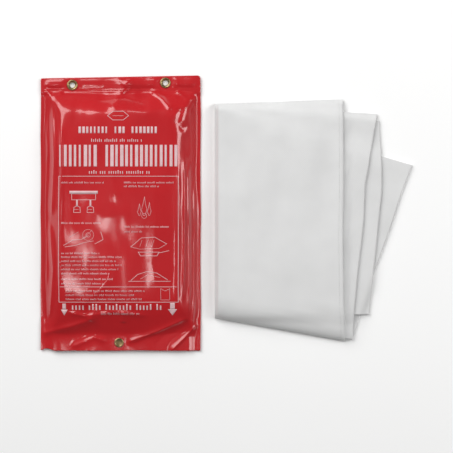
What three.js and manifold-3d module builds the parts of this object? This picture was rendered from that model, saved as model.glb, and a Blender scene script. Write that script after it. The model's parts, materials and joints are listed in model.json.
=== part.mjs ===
// Fire blanket set: a red film pouch that holds a folded glass-cloth blanket, and a second
// blanket of the same cloth lying folded beside it. Millimetres, +Z up. Everything lies on
// its back on z = 0. X runs from the pouch to the loose blanket, Y from the pouch's mouth
// to its header, and the origin is under the middle of the whole set.
import * as THREE from "three";
import { mergeVertices } from "three/addons/utils/BufferGeometryUtils.js";
import Module from "manifold-3d";

const wasm = await Module();
wasm.setup();

// ---- Driving dimensions ------------------------------------------------------------

// The folded blanket inside the pouch.
const packWidth = 163;
const packLength = 296;
const packThickness = 21.5;
const packCornerRadius = 5;

// The pouch film and the margins around the packed blanket.
const filmThickness = 0.5;
const weldWidth = 6;
const weldThickness = 0.8;
const tentLeft = 21.5; // from the left weld to the packed blanket
const tentRight = 20;
const headerDepth = 22;
const headerRun = 6.5; // from the packed blanket to the header
const mouthDepth = 46.5; // from the packed blanket to the lip's edge
const plateauInset = 1; // the film's flat top reaches this far past the packed blanket

// The top edge: its left end hangs lower, and its corners are rounded.
const topEdgeSkew = 4;
const topLeftRound = 2.5;
const topRightRound = 5;

// Under the header and the mouth the back film stands this high, clear of the rivets.
const standOff = 1.2;
const mouthLiftRun = 12;

// The mouth flap: a bend line, a slope and a flat lip.
const bendGap = 0.6;
const bendInset = 1.5;
const lipSlopeRun = 22;
const lipSideRun = 12; // the lip rises from the welds to its full height over this run

// Eyelets and their washers.
const eyeletLeftDrop = 13; // from the pouch's top
const eyeletRightDrop = 10;
const eyeletLeftInset = 43; // from the pouch's left edge
const eyeletRightInset = 48; // from the pouch's right edge
const eyeletHoleRadius = 3.65;
const eyeletWall = 0.5;
const eyeletFlangeRadius = 7.3;
const eyeletFlangeHeight = 1.5;
const eyeletCurlWidth = 1.1;
const washerThickness = 0.7;

// The press stud in the middle of the mouth.
const studInset = 11; // from the lip's edge
const studSideShift = -2; // from the pouch's middle line
const studBaseRadius = 5;
const studBaseThickness = 0.65;
const studNeckRadius = 2.2;
const studBallRadius = 2.5;
const studHeight = 2.9;
const studWall = 0.7;
const rivetHeadThickness = 1;
const rivetPostClearance = 0.2;
const socketRadius = 5;
const socketCollar = 0.35;
const capRadius = 6.3;
const capHeight = 1.5;
const capDishRadius = 4.3;
const capDishDepth = 0.8;
const capPostRadius = 1.5;

// The pull tapes sewn to the packed blanket's lower edge.
const tapeWidth = 25;
const tapeLength = 40;
const tapeThickness = 1.2;
const tapeHem = 10;
const tapeInset = 19; // from the packed blanket's side to the tape's middle line

// The loose blanket: panels of cloth in four plies, folded in a concertina.
const panelWidth = 174;
const panelLength = 289;
const panelSkew = 31; // the right-hand end of the bottom edge hangs this much lower
const panelRise = 6.5; // the right-hand end of the top edge stands this much higher
const panelThickness = 2.1;
const looseSpacing = 19; // between the pouch and the loose blanket
const looseTopDrop = 39; // from the pouch's top edge to the loose blanket's top-left corner
const looseFullPanels = 9; // panels under the top leaf
const fanRootInset = 60; // the fanned layers start this far inside the top panel's edge

// Layers that fan out past the top panel's right edge. Each is a number of panels high and
// has an outline of [distance below the panel's top-right corner, reach past its edge].
const fanLayers = [
  { panels: 6, edge: [[10, 0], [21, 42], [113, 25], [166, 23], [panelLength - 2, 9], [panelLength + 24, 6]] },
  { panels: 4, edge: [[18, 0], [30, 44], [122, 48], [200, 39], [panelLength, 28]] },
  { panels: 2, edge: [[62, 0], [74, 46], [89, 91], [131, 74], [223, 41], [panelLength + 23, 5]] },
];

// Clearances.
const fabricGap = 0.3;
const metalGap = 0.05;
const holeGap = 0.25;

const roundSteps = 32;
const trimMargin = 1;
const drillLength = 80; // longer than anything that it cuts

// ---- Places worked out from the driving dimensions -----------------------------------

const pouchWidth = weldWidth + tentLeft + packWidth + tentRight + weldWidth;
const pouchLength = headerDepth + headerRun + packLength + mouthDepth;
const fanReach = Math.max(...fanLayers.flatMap((layer) => layer.edge.map(([, reach]) => reach)));
const setWidth = pouchWidth + looseSpacing + panelWidth + fanReach;

const pouchLeft = -setWidth / 2;
const pouchRight = pouchLeft + pouchWidth;
const pouchTop = pouchLength / 2;
const pouchBottom = -pouchLength / 2;
const pouchMiddle = (pouchLeft + pouchRight) / 2;

const weldLeftInner = pouchLeft + weldWidth;
const weldRightInner = pouchRight - weldWidth;
const packLeft = weldLeftInner + tentLeft;
const packRight = packLeft + packWidth;
const packTop = pouchTop - headerDepth - headerRun;
const packBottom = packTop - packLength;
const headerBottom = pouchTop - headerDepth;

const packFloor = filmThickness + fabricGap;
const plateauHeight = packFloor + packThickness + fabricGap;

const bendLine = packBottom - bendInset;
const slopeFoot = bendLine - lipSlopeRun;

const seamTop = standOff + filmThickness; // the lifted back film's upper face
const studTop = seamTop + studHeight;
const lipHeight = studTop + 2 * socketCollar;
const studX = pouchMiddle + studSideShift;
const studY = pouchBottom + studInset;

const panelLeft = pouchRight + looseSpacing;
const panelRight = panelLeft + panelWidth;
const panelTop = pouchTop - looseTopDrop;
const looseTopHeight = looseFullPanels * panelThickness;
const leafFloor = looseTopHeight + fabricGap;

// ---- Materials -------------------------------------------------------------------------

const redFilm = { color: 0xc62a2e, roughness: 0.28, metalness: 0 };
const brass = { color: 0x9a7b45, roughness: 0.35, metalness: 1 };
const glassCloth = { color: 0xe2e2e0, roughness: 0.85, metalness: 0 };
const tapeCloth = { color: 0x2a2a2c, roughness: 0.9, metalness: 0 };

// ---- Building helpers ------------------------------------------------------------------

const set = new THREE.Group();

// Adds one named sub-part to the set.
function addPart(name, geometry, finish) {
  const part = new THREE.Mesh(geometry, new THREE.MeshStandardMaterial(finish));
  part.name = name;
  set.add(part);
}

// A closed geometry as a solid that can be joined and cut.
function toSolid(geometry) {
  const bare = geometry.clone();
  bare.deleteAttribute("normal");
  bare.deleteAttribute("uv");
  const merged = mergeVertices(bare, 1e-4);
  return new wasm.Manifold(
    new wasm.Mesh({
      numProp: 3,
      vertProperties: new Float32Array(merged.attributes.position.array),
      triVerts: new Uint32Array(merged.index.array),
    }),
  );
}

// A solid as a geometry.
function toGeometry(solid) {
  const mesh = solid.getMesh();
  const geometry = new THREE.BufferGeometry();
  geometry.setAttribute("position", new THREE.BufferAttribute(mesh.vertProperties, 3));
  geometry.setIndex(new THREE.BufferAttribute(mesh.triVerts, 1));
  geometry.computeVertexNormals();
  return geometry;
}

// A straight line of heights through [place, height] pairs sorted by place.
function profile(pairs) {
  return (place) => {
    if (place <= pairs[0][0]) return pairs[0][1];
    for (let i = 1; i < pairs.length; i++) {
      const [start, low] = pairs[i - 1];
      const [end, high] = pairs[i];
      if (place <= end) return low + ((high - low) * (place - start)) / (end - start);
    }
    return pairs[pairs.length - 1][1];
  };
}

// A closed sheet between two height functions over a grid of X and Y lines. Both faces of a
// cell split along the same diagonal, so the sheet keeps its thickness where a cell twists.
function sheet(xLines, yLines, lower, upper) {
  const positions = [];
  const across = xLines.length;
  for (const height of [lower, upper]) {
    for (const y of yLines) {
      for (const x of xLines) positions.push(x, y, height(x, y));
    }
  }
  const layer = across * yLines.length;
  const faces = [];
  const quad = (a, b, c, d) => faces.push(a, b, c, a, c, d);
  const at = (level, row, column) => level * layer + row * across + column;
  for (let row = 0; row + 1 < yLines.length; row++) {
    for (let column = 0; column + 1 < across; column++) {
      quad(at(0, row, column), at(0, row + 1, column), at(0, row + 1, column + 1), at(0, row, column + 1));
      quad(at(1, row, column), at(1, row, column + 1), at(1, row + 1, column + 1), at(1, row + 1, column));
    }
  }
  for (let column = 0; column + 1 < across; column++) {
    const last = yLines.length - 1;
    quad(at(0, 0, column), at(0, 0, column + 1), at(1, 0, column + 1), at(1, 0, column));
    quad(at(0, last, column + 1), at(0, last, column), at(1, last, column), at(1, last, column + 1));
  }
  for (let row = 0; row + 1 < yLines.length; row++) {
    const last = across - 1;
    quad(at(0, row + 1, 0), at(0, row, 0), at(1, row, 0), at(1, row + 1, 0));
    quad(at(0, row, last), at(0, row + 1, last), at(1, row + 1, last), at(1, row, last));
  }
  const geometry = new THREE.BufferGeometry();
  geometry.setAttribute("position", new THREE.Float32BufferAttribute(positions, 3));
  geometry.setIndex(faces);
  geometry.computeVertexNormals();
  return geometry;
}

// Round holes cut through a sheet; each hole is [x, y, radius].
function drilled(geometry, holes) {
  let solid = toSolid(geometry);
  for (const [x, y, radius] of holes) {
    const drill = new THREE.CylinderGeometry(radius, radius, drillLength, roundSteps);
    drill.rotateX(Math.PI / 2);
    drill.translate(x, y, 0);
    solid = solid.subtract(toSolid(drill));
  }
  return toGeometry(solid);
}

// A sheet cut to the pouch's outline along its top edge.
function trimmed(geometry) {
  const shoulder = pouchTop - topEdgeSkew;
  const outline = new THREE.Shape();
  outline.moveTo(pouchLeft - trimMargin, pouchBottom - trimMargin);
  outline.lineTo(pouchRight + trimMargin, pouchBottom - trimMargin);
  outline.lineTo(pouchRight + trimMargin, pouchTop - topRightRound);
  outline.lineTo(pouchRight, pouchTop - topRightRound);
  outline.quadraticCurveTo(pouchRight, pouchTop, pouchRight - topRightRound, pouchTop);
  outline.lineTo(pouchLeft + topLeftRound, shoulder);
  outline.quadraticCurveTo(pouchLeft, shoulder, pouchLeft, shoulder - topLeftRound);
  outline.lineTo(pouchLeft - trimMargin, shoulder - topLeftRound);
  const block = new THREE.ExtrudeGeometry(outline, {
    depth: drillLength,
    bevelEnabled: false,
    curveSegments: 6,
  });
  block.translate(0, 0, -drillLength / 2);
  return toGeometry(toSolid(geometry).intersect(toSolid(block)));
}

// A turned piece: [radius, height] points round its section, standing at (x, y).
function turned(section, x, y) {
  const points = section.map(([radius, height]) => new THREE.Vector2(radius, height));
  const geometry = new THREE.LatheGeometry(points, roundSteps);
  geometry.rotateX(Math.PI / 2);
  geometry.translate(x, y, 0);
  return geometry;
}

// An upright prism over a list of [x, y] corners.
function prism(corners, height) {
  const outline = new THREE.Shape(corners.map(([x, y]) => new THREE.Vector2(x, y)));
  return new THREE.ExtrudeGeometry(outline, { depth: height, bevelEnabled: false });
}

// ---- Film heights ----------------------------------------------------------------------

// Underside of the back film: flat on the floor, lifted under the header and the mouth.
const backLift = profile([
  [packBottom - mouthLiftRun, standOff],
  [packBottom - fabricGap, 0],
  [packTop + fabricGap, 0],
  [headerBottom, standOff],
]);

// Underside of the front film along the welds.
const marginHeight = (y) => backLift(y) + filmThickness + weldThickness;

// Underside of the front film along the pouch's middle.
const crownHeight = profile([
  [slopeFoot, lipHeight],
  [bendLine + bendGap / 2, plateauHeight],
  [packTop + plateauInset, plateauHeight],
  [headerBottom, standOff + filmThickness + weldThickness],
]);

// How far across the pouch the film has risen from the welds, from 0 to 1.
const sideRise = profile([
  [weldLeftInner, 0],
  [packLeft - plateauInset, 1],
  [packRight + plateauInset, 1],
  [weldRightInner, 0],
]);
const lipRise = profile([
  [weldLeftInner, 0],
  [weldLeftInner + lipSideRun, 1],
  [weldRightInner - lipSideRun, 1],
  [weldRightInner, 0],
]);

const lipShare = profile([
  [slopeFoot, 1],
  [bendLine - bendGap / 2, 0],
]);

// Underside of the front film, from the header down to the lip's edge.
function frontUnderside(x, y) {
  const rise = THREE.MathUtils.lerp(sideRise(x), lipRise(x), lipShare(y));
  return THREE.MathUtils.lerp(marginHeight(y), crownHeight(y), rise);
}

const sideLines = [
  pouchLeft,
  weldLeftInner,
  weldLeftInner + lipSideRun,
  packLeft - plateauInset,
  packRight + plateauInset,
  weldRightInner - lipSideRun,
  weldRightInner,
  pouchRight,
];
const raised = (height) => (x, y) => height(x, y) + filmThickness;

// ---- Pouch -----------------------------------------------------------------------------

const eyelets = [
  { side: "left", x: pouchLeft + eyeletLeftInset, y: pouchTop - eyeletLeftDrop },
  { side: "right", x: pouchRight - eyeletRightInset, y: pouchTop - eyeletRightDrop },
];
const barrelRadius = eyeletHoleRadius + eyeletWall;
const filmHoleRadius = barrelRadius + holeGap;
const eyeletHoles = eyelets.map(({ x, y }) => [x, y, filmHoleRadius]);

// The back film, flat with two lifted ends.
const rivetPostRadius = studNeckRadius - studWall - rivetPostClearance;
const backLines = [
  pouchBottom,
  packBottom - mouthLiftRun,
  bendLine,
  packBottom - fabricGap,
  packTop + fabricGap,
  headerBottom,
  pouchTop,
];
const backLow = (x, y) => backLift(y);
addPart(
  "back_panel",
  drilled(trimmed(sheet([pouchLeft, pouchRight], backLines, backLow, raised(backLow))), [
    ...eyeletHoles,
    [studX, studY, rivetPostRadius + rivetPostClearance],
  ]),
  redFilm,
);

// The front film, shaped over the packed blanket from the header to the bend line.
const frontLines = [
  bendLine + bendGap / 2,
  packBottom - fabricGap,
  packTop + fabricGap,
  packTop + plateauInset,
  headerBottom,
  pouchTop,
];
addPart(
  "front_panel",
  drilled(trimmed(sheet(sideLines, frontLines, frontUnderside, raised(frontUnderside))), eyeletHoles),
  redFilm,
);

// The fused bands that join the two films along the sides, down to the bend line.
const weldLines = [bendLine, packBottom - fabricGap, packTop + fabricGap, headerBottom - fabricGap];
const weldLow = (x, y) => backLift(y) + filmThickness;
const weldHigh = (x, y) => marginHeight(y);
const welds = [
  { side: "left", lines: [pouchLeft, weldLeftInner] },
  { side: "right", lines: [weldRightInner, pouchRight] },
];
for (const { side, lines } of welds) {
  addPart(`side_weld_${side}`, sheet(lines, weldLines, weldLow, weldHigh), redFilm);
}

// The strip between the films that stiffens the header.
const stiffenerLines = [headerBottom, pouchTop];
addPart(
  "header_stiffener",
  drilled(trimmed(sheet([pouchLeft, pouchRight], stiffenerLines, weldLow, weldHigh)), eyeletHoles),
  redFilm,
);

// Eyelets: a rolled flange on the front, a barrel through the films and a curl behind.
const flangeFloor = seamTop + weldThickness + filmThickness;
const flangeTop = flangeFloor + eyeletFlangeHeight;
const washerFloor = standOff - washerThickness;
const curlTop = washerFloor - metalGap;
const flangeMiddle = (eyeletHoleRadius + eyeletFlangeRadius) / 2;
const flangeReach = (eyeletFlangeRadius - eyeletHoleRadius) / 2;
const flangeArcSteps = 8;

function rolledFlange() {
  const arc = [];
  for (let step = 0; step <= flangeArcSteps; step++) {
    const turn = (Math.PI * step) / flangeArcSteps;
    const radius = flangeMiddle + flangeReach * Math.cos(turn);
    arc.push([radius, flangeFloor + eyeletFlangeHeight * Math.sin(turn)]);
  }
  return arc;
}

for (const { side, x, y } of eyelets) {
  const section = [
    [eyeletHoleRadius, 0],
    [barrelRadius + eyeletCurlWidth, 0],
    [barrelRadius + eyeletCurlWidth, curlTop],
    [barrelRadius, curlTop],
    [barrelRadius, flangeFloor],
    ...rolledFlange(),
    [eyeletHoleRadius, 0],
  ];
  addPart(`eyelet_${side}`, turned(section, x, y), brass);
  const washer = [
    [filmHoleRadius, washerFloor],
    [eyeletFlangeRadius, washerFloor],
    [eyeletFlangeRadius, standOff],
    [filmHoleRadius, standOff],
    [filmHoleRadius, washerFloor],
  ];
  addPart(`eyelet_washer_${side}`, turned(washer, x, y), brass);
}

// The press stud's fixed half: a rivet from behind and a ball-headed stud on the film.
const rivetHeadFloor = standOff - rivetHeadThickness;
const rivetPostTop = studTop - studWall - metalGap;
addPart(
  "stud_rivet",
  turned(
    [
      [0, rivetHeadFloor],
      [studBaseRadius, rivetHeadFloor],
      [studBaseRadius, standOff],
      [rivetPostRadius, standOff],
      [rivetPostRadius, rivetPostTop],
      [0, rivetPostTop],
    ],
    studX,
    studY,
  ),
  brass,
);

const studBore = rivetPostRadius + rivetPostClearance;
const ballMiddle = studTop - studBallRadius / 2;
addPart(
  "stud_ball",
  turned(
    [
      [studBore, seamTop],
      [studBaseRadius, seamTop],
      [studBaseRadius, seamTop + studBaseThickness],
      [studNeckRadius, seamTop + studBaseThickness],
      [studNeckRadius, ballMiddle - studBallRadius / 4],
      [studBallRadius, ballMiddle],
      [studBallRadius - studWall / 2, studTop - studWall / 2],
      [studBore, studTop],
      [0, studTop],
      [0, studTop - studWall],
      [studBore, studTop - studWall],
      [studBore, seamTop],
    ],
    studX,
    studY,
  ),
  brass,
);

// ---- Mouth flap ------------------------------------------------------------------------

// The film below the bend line: a slope, then the lip that the stud holds shut.
const flapLines = [pouchBottom, slopeFoot, packBottom - mouthLiftRun, bendLine - bendGap / 2];
const capHoleRadius = capPostRadius + holeGap;
addPart(
  "mouth_flap",
  drilled(sheet(sideLines, flapLines, frontUnderside, raised(frontUnderside)), [
    [studX, studY, capHoleRadius],
  ]),
  redFilm,
);

// The press stud's moving half: a socket under the film and a dished cap over it.
const socketFloor = seamTop + studBaseThickness + metalGap;
const socketBore = studBallRadius + rivetPostClearance;
addPart(
  "stud_socket",
  turned(
    [
      [socketBore, socketFloor],
      [socketRadius, socketFloor],
      [socketRadius, lipHeight],
      [capHoleRadius, lipHeight],
      [capHoleRadius, lipHeight - socketCollar],
      [socketBore, lipHeight - socketCollar],
      [socketBore, socketFloor],
    ],
    studX,
    studY,
  ),
  brass,
);

const capFloor = lipHeight + filmThickness;
addPart(
  "stud_cap",
  turned(
    [
      [0, lipHeight - socketCollar],
      [capPostRadius, lipHeight - socketCollar],
      [capPostRadius, capFloor],
      [capRadius, capFloor],
      [capRadius, capFloor + capHeight / 2],
      [(capRadius + capDishRadius) / 2, capFloor + capHeight],
      [capDishRadius, capFloor + capHeight - capDishDepth / 4],
      [0, capFloor + capHeight - capDishDepth],
    ],
    studX,
    studY,
  ),
  brass,
);

// ---- Packed blanket --------------------------------------------------------------------

// The folded blanket, a soft block with rounded long edges.
function roundedSection(left, right, low, high, radius) {
  const outline = new THREE.Shape();
  outline.moveTo(left + radius, low);
  outline.lineTo(right - radius, low);
  outline.absarc(right - radius, low + radius, radius, -Math.PI / 2, 0, false);
  outline.lineTo(right, high - radius);
  outline.absarc(right - radius, high - radius, radius, 0, Math.PI / 2, false);
  outline.lineTo(left + radius, high);
  outline.absarc(left + radius, high - radius, radius, Math.PI / 2, Math.PI, false);
  outline.lineTo(left, low + radius);
  outline.absarc(left + radius, low + radius, radius, Math.PI, 1.5 * Math.PI, false);
  return outline;
}

const packCeiling = packFloor + packThickness;
const packSection = roundedSection(packLeft, packRight, packFloor, packCeiling, packCornerRadius);
const packBlock = new THREE.ExtrudeGeometry(packSection, {
  depth: packLength,
  bevelEnabled: false,
  curveSegments: 5,
});
packBlock.rotateX(Math.PI / 2);
packBlock.translate(0, packTop, 0);
addPart("packed_blanket", packBlock, glassCloth);

// Two tapes lie in the mouth, each with its end turned back into a double hem.
const tapeTop = packBottom - fabricGap;
const tapeEnd = tapeTop - tapeLength;
const tapeFloor = seamTop + fabricGap;
const tapeSide = new THREE.Shape(
  [
    [tapeEnd, tapeFloor],
    [tapeTop, tapeFloor],
    [tapeTop, tapeFloor + tapeThickness],
    [tapeEnd + tapeHem, tapeFloor + tapeThickness],
    [tapeEnd + tapeHem, tapeFloor + 2 * tapeThickness],
    [tapeEnd, tapeFloor + 2 * tapeThickness],
  ].map(([along, height]) => new THREE.Vector2(along, height)),
);
const sideways = new THREE.Matrix4().makeBasis(
  new THREE.Vector3(0, 1, 0),
  new THREE.Vector3(0, 0, 1),
  new THREE.Vector3(1, 0, 0),
);
const tapes = [
  { side: "left", x: packLeft + tapeInset },
  { side: "right", x: packRight - tapeInset },
];
for (const { side, x } of tapes) {
  const tape = new THREE.ExtrudeGeometry(tapeSide, { depth: tapeWidth, bevelEnabled: false });
  tape.applyMatrix4(sideways);
  tape.translate(x - tapeWidth / 2, 0, 0);
  addPart(`pull_tape_${side}`, tape, tapeCloth);
}

// ---- Loose blanket ---------------------------------------------------------------------

// The top panel's outline, a slightly skewed four-sided sheet.
const panelCorners = [
  [panelLeft, panelTop],
  [panelLeft, panelTop - panelLength],
  [panelRight, panelTop - panelLength - panelSkew],
  [panelRight, panelTop + panelRise],
];

// The concertina of panels with the layers that fan out to the right of it.
let concertina = toSolid(prism(panelCorners, looseTopHeight));
const fanRoot = panelRight - fanRootInset;
const fanTop = panelTop + panelRise;
for (const { panels, edge } of fanLayers) {
  const [firstDrop] = edge[0];
  const [lastDrop] = edge[edge.length - 1];
  const corners = [
    [fanRoot, fanTop - firstDrop],
    [fanRoot, fanTop - lastDrop],
    ...edge.toReversed().map(([drop, reach]) => [panelRight + reach, fanTop - drop]),
  ];
  concertina = concertina.add(toSolid(prism(corners, panels * panelThickness)));
}
addPart("folded_blanket", toGeometry(concertina), glassCloth);

// The top panel, free to be turned over about its left-hand crease.
const leaf = prism(panelCorners, panelThickness);
leaf.translate(0, 0, leafFloor);
addPart("blanket_top_leaf", leaf, glassCloth);

export default set;
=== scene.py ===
"""Looks of a fire blanket set: a filled red film pouch and a loose folded blanket beside it.

Sizes in the classes are millimetres in the frame's axes. `mesh_piece` turns them into metres.
"""

import json
import logging
import math
from dataclasses import dataclass
from enum import Enum
from typing import Sequence

import bmesh
import bpy
import numpy as np
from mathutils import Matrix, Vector

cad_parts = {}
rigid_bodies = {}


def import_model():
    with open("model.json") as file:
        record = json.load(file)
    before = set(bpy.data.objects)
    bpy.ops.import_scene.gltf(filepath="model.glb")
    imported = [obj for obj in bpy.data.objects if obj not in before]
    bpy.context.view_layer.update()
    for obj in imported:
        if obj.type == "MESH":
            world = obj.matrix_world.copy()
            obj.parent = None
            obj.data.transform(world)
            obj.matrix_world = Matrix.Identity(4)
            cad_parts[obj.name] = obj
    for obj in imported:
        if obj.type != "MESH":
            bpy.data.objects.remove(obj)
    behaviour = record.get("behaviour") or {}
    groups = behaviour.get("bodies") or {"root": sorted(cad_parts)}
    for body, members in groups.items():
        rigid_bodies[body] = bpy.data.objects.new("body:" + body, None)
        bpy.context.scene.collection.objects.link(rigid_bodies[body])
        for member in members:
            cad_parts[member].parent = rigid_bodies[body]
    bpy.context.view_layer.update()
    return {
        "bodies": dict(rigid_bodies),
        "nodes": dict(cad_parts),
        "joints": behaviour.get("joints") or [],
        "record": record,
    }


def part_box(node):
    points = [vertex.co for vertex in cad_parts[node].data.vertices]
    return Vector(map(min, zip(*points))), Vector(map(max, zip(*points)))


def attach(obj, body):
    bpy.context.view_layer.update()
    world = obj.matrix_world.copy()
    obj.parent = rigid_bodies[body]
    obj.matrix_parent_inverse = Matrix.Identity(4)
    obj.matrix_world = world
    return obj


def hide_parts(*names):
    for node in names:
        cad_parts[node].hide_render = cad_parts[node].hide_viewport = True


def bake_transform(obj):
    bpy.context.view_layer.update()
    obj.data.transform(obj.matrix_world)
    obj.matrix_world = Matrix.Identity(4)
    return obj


MM = 0.001
CLOTH_FLAT = (1.2, 1.8)
STUD_SINK = 0.35  # How deep the stud's cap is pressed into the lip.
LOG = logging.getLogger("fire_blanket")

Piece = bpy.types.Object
Material = bpy.types.Material
Colour = tuple[float, ...]
Grain = tuple[float, ...]  # Lumps per metre, octaves, and how strong the finer octaves are.
Sockets = dict[str | int, object]
Pair = tuple[float, float]
Route = Sequence[Pair]
Array = np.ndarray
Grid = tuple[Array, Array]
Solid = tuple[Array, list[list[int]]]


class Side(Enum):
    """A side of the pouch or of a stack of cloth."""

    LEFT = "left"
    RIGHT = "right"
    BOTTOM = "bottom"
    TOP = "top"


# ---- Shader expressions ------------------------------------------------------------------


class Wire:
    """One output socket of a material, usable in Python arithmetic."""

    def __init__(self, tree: bpy.types.NodeTree, socket: bpy.types.NodeSocket) -> None:
        """Keeps the tree and the socket."""
        self.tree, self.socket = tree, socket

    def _math(self, operation: str, first: "Wire | float", second: "Wire | float") -> "Wire":
        """Adds one Math node.

        Args:
            operation: The node's operation.
            first: The first operand.
            second: The second operand.

        Returns:
            The node's value.
        """
        node = self.tree.nodes.new("ShaderNodeMath")
        node.operation = operation
        plug(self.tree, node.inputs[0], first)
        plug(self.tree, node.inputs[1], second)
        return Wire(self.tree, node.outputs[0])

    def __add__(self, other: "Wire | float") -> "Wire":
        """self + other."""
        return self._math("ADD", self, other)

    def __sub__(self, other: "Wire | float") -> "Wire":
        """self - other."""
        return self._math("SUBTRACT", self, other)

    def __rsub__(self, other: float) -> "Wire":
        """other - self."""
        return self._math("SUBTRACT", other, self)

    def __mul__(self, other: "Wire | float") -> "Wire":
        """self * other."""
        return self._math("MULTIPLY", self, other)

    def sine(self) -> "Wire":
        """The sine of self, in radians."""
        return self._math("SINE", self, 0.0)

    __radd__ = __add__
    __rmul__ = __mul__


def plug(tree: bpy.types.NodeTree, socket: bpy.types.NodeSocket, value: object) -> None:
    """Links a wire to a socket, or sets the socket's own value.

    Args:
        tree: The node tree.
        socket: The input socket.
        value: A Wire, a number or a tuple.
    """
    if isinstance(value, Wire):
        tree.links.new(value.socket, socket)
    else:
        socket.default_value = value


class Recipe:
    """A material built node by node."""

    def __init__(self, name: str) -> None:
        """Starts a material with its Object coordinates, in metres.

        Args:
            name: The material's name.
        """
        self.material = bpy.data.materials.new(name)
        self.material.use_nodes = True
        self.tree = self.material.node_tree
        self.tree.nodes.clear()
        self.place = self.node("ShaderNodeTexCoord", output="Object")

    def node(
        self,
        kind: str,
        settings: dict[str, object] | None = None,
        sockets: Sockets | None = None,
        output: str | int = 0,
    ) -> Wire:
        """Adds one node.

        Args:
            kind: The node's type.
            settings: Its own properties, set first.
            sockets: Values or wires of its input sockets.
            output: Which output to return.

        Returns:
            The named output.
        """
        node = self.tree.nodes.new(kind)
        for name, value in (settings or {}).items():
            setattr(node, name, value)
        for name, value in (sockets or {}).items():
            plug(self.tree, node.inputs[name], value)
        return Wire(self.tree, node.outputs[output])

    def noise(self, scale: float, detail: float, rough: float = 0.5) -> Wire:
        """Noise from 0 to 1, from the three values of a Grain."""
        sockets = {"Vector": self.place, "Scale": scale, "Detail": detail, "Roughness": rough}
        return self.node("ShaderNodeTexNoise", sockets=sockets)

    def wave(self, where: Wire, axis: str, turn: float) -> Wire:
        """A sine wave along one axis of a vector, from -1 to 1."""
        part = self.node("ShaderNodeSeparateXYZ", sockets={"Vector": where}, output=axis)
        return (part * turn).sine()

    def blend(self, factor: Wire, first: Colour, second: Colour) -> Wire:
        """Mixes two linear colours: the first at 0, the second at 1."""
        sockets = {0: factor, 6: (*first, 1.0), 7: (*second, 1.0)}
        return self.node("ShaderNodeMix", {"data_type": "RGBA"}, sockets, 2)

    def bump(self, height: Wire, strength: float, distance: float) -> Wire:
        """Turns a height from 0 to 1 into a normal, for a depth given in metres."""
        sockets = {"Strength": strength, "Distance": distance, "Height": height}
        return self.node("ShaderNodeBump", sockets=sockets, output="Normal")

    def finish(self, sockets: Sockets) -> Material:
        """Ends the material with a Principled shader.

        Args:
            sockets: Values or wires of the shader's inputs.

        Returns:
            The material.
        """
        shader = self.node("ShaderNodeBsdfPrincipled", sockets=sockets)
        surface = self.tree.nodes.new("ShaderNodeOutputMaterial")
        plug(self.tree, surface.inputs["Surface"], shader)
        return self.material


# ---- Finishes ----------------------------------------------------------------------------


@dataclass(frozen=True)
class Finish:
    """A material of one name. Each finish says what its shader's sockets get."""

    name: str

    def material(self) -> Material:
        """Makes the material."""
        recipe = Recipe(self.name)
        return recipe.finish(self.sockets(recipe))


@dataclass(frozen=True)
class RedFilm(Finish):
    """Glossy soft PVC film."""

    name: str = "red_film"
    deep: Colour = (0.42, 0.005, 0.009)
    bright: Colour = (0.58, 0.011, 0.016)
    cloud: Grain = (14.0, 4.0)
    peel: Grain = (700.0, 2.0)
    ripple: Grain = (90.0, 3.0)
    scuff: Grain = (260.0, 5.0, 0.7)

    def sockets(self, recipe: Recipe) -> Sockets:
        """The film with cloudy dye, fine orange peel and slight wear in its gloss.

        Args:
            recipe: The material's nodes so far.

        Returns:
            What the shader's sockets get.
        """
        relief = recipe.noise(*self.ripple) * 0.5 + recipe.noise(*self.peel) * 0.04
        return {
            "Base Color": recipe.blend(recipe.noise(*self.cloud), self.deep, self.bright),
            "Roughness": 0.26 + recipe.noise(*self.scuff) * 0.2,
            "Specular IOR Level": 0.25,
            "Coat Weight": 1.0,
            "Coat Roughness": 0.12,
            "Normal": recipe.bump(relief, 0.35, 0.0006),
        }


@dataclass(frozen=True)
class WhiteInk(Finish):
    """Screen-printed white ink, thin enough for the red to tint it."""

    name: str = "white_ink"
    thin: Colour = (0.66, 0.36, 0.38)
    full: Colour = (0.76, 0.60, 0.61)
    cover: Grain = (120.0, 4.0, 0.6)
    grain: Grain = (1500.0, 2.0)

    def sockets(self, recipe: Recipe) -> Sockets:
        """The ink with uneven cover.

        Args:
            recipe: The material's nodes so far.

        Returns:
            What the shader's sockets get.
        """
        cover = recipe.noise(*self.cover)
        return {
            "Base Color": recipe.blend(cover, self.thin, self.full),
            "Roughness": 0.34 + cover * 0.15,
            "Normal": recipe.bump(recipe.noise(*self.grain), 0.2, 0.0001),
        }


@dataclass(frozen=True)
class Brass(Finish):
    """Rolled brass, a little tarnished."""

    name: str = "brass"
    clean: Colour = (0.50, 0.36, 0.17)
    tarnish: Colour = (0.20, 0.14, 0.07)
    patch: Grain = (420.0, 4.0, 0.65)
    scratch: Grain = (2600.0, 3.0, 0.7)

    def sockets(self, recipe: Recipe) -> Sockets:
        """The brass with tarnish patches and fine scratches.

        Args:
            recipe: The material's nodes so far.

        Returns:
            What the shader's sockets get.
        """
        patches = recipe.noise(*self.patch)
        return {
            "Base Color": recipe.blend(patches, self.clean, self.tarnish),
            "Metallic": 1.0,
            "Roughness": 0.22 + patches * 0.26,
            "Normal": recipe.bump(recipe.noise(*self.scratch), 0.15, 0.0001),
        }


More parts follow.
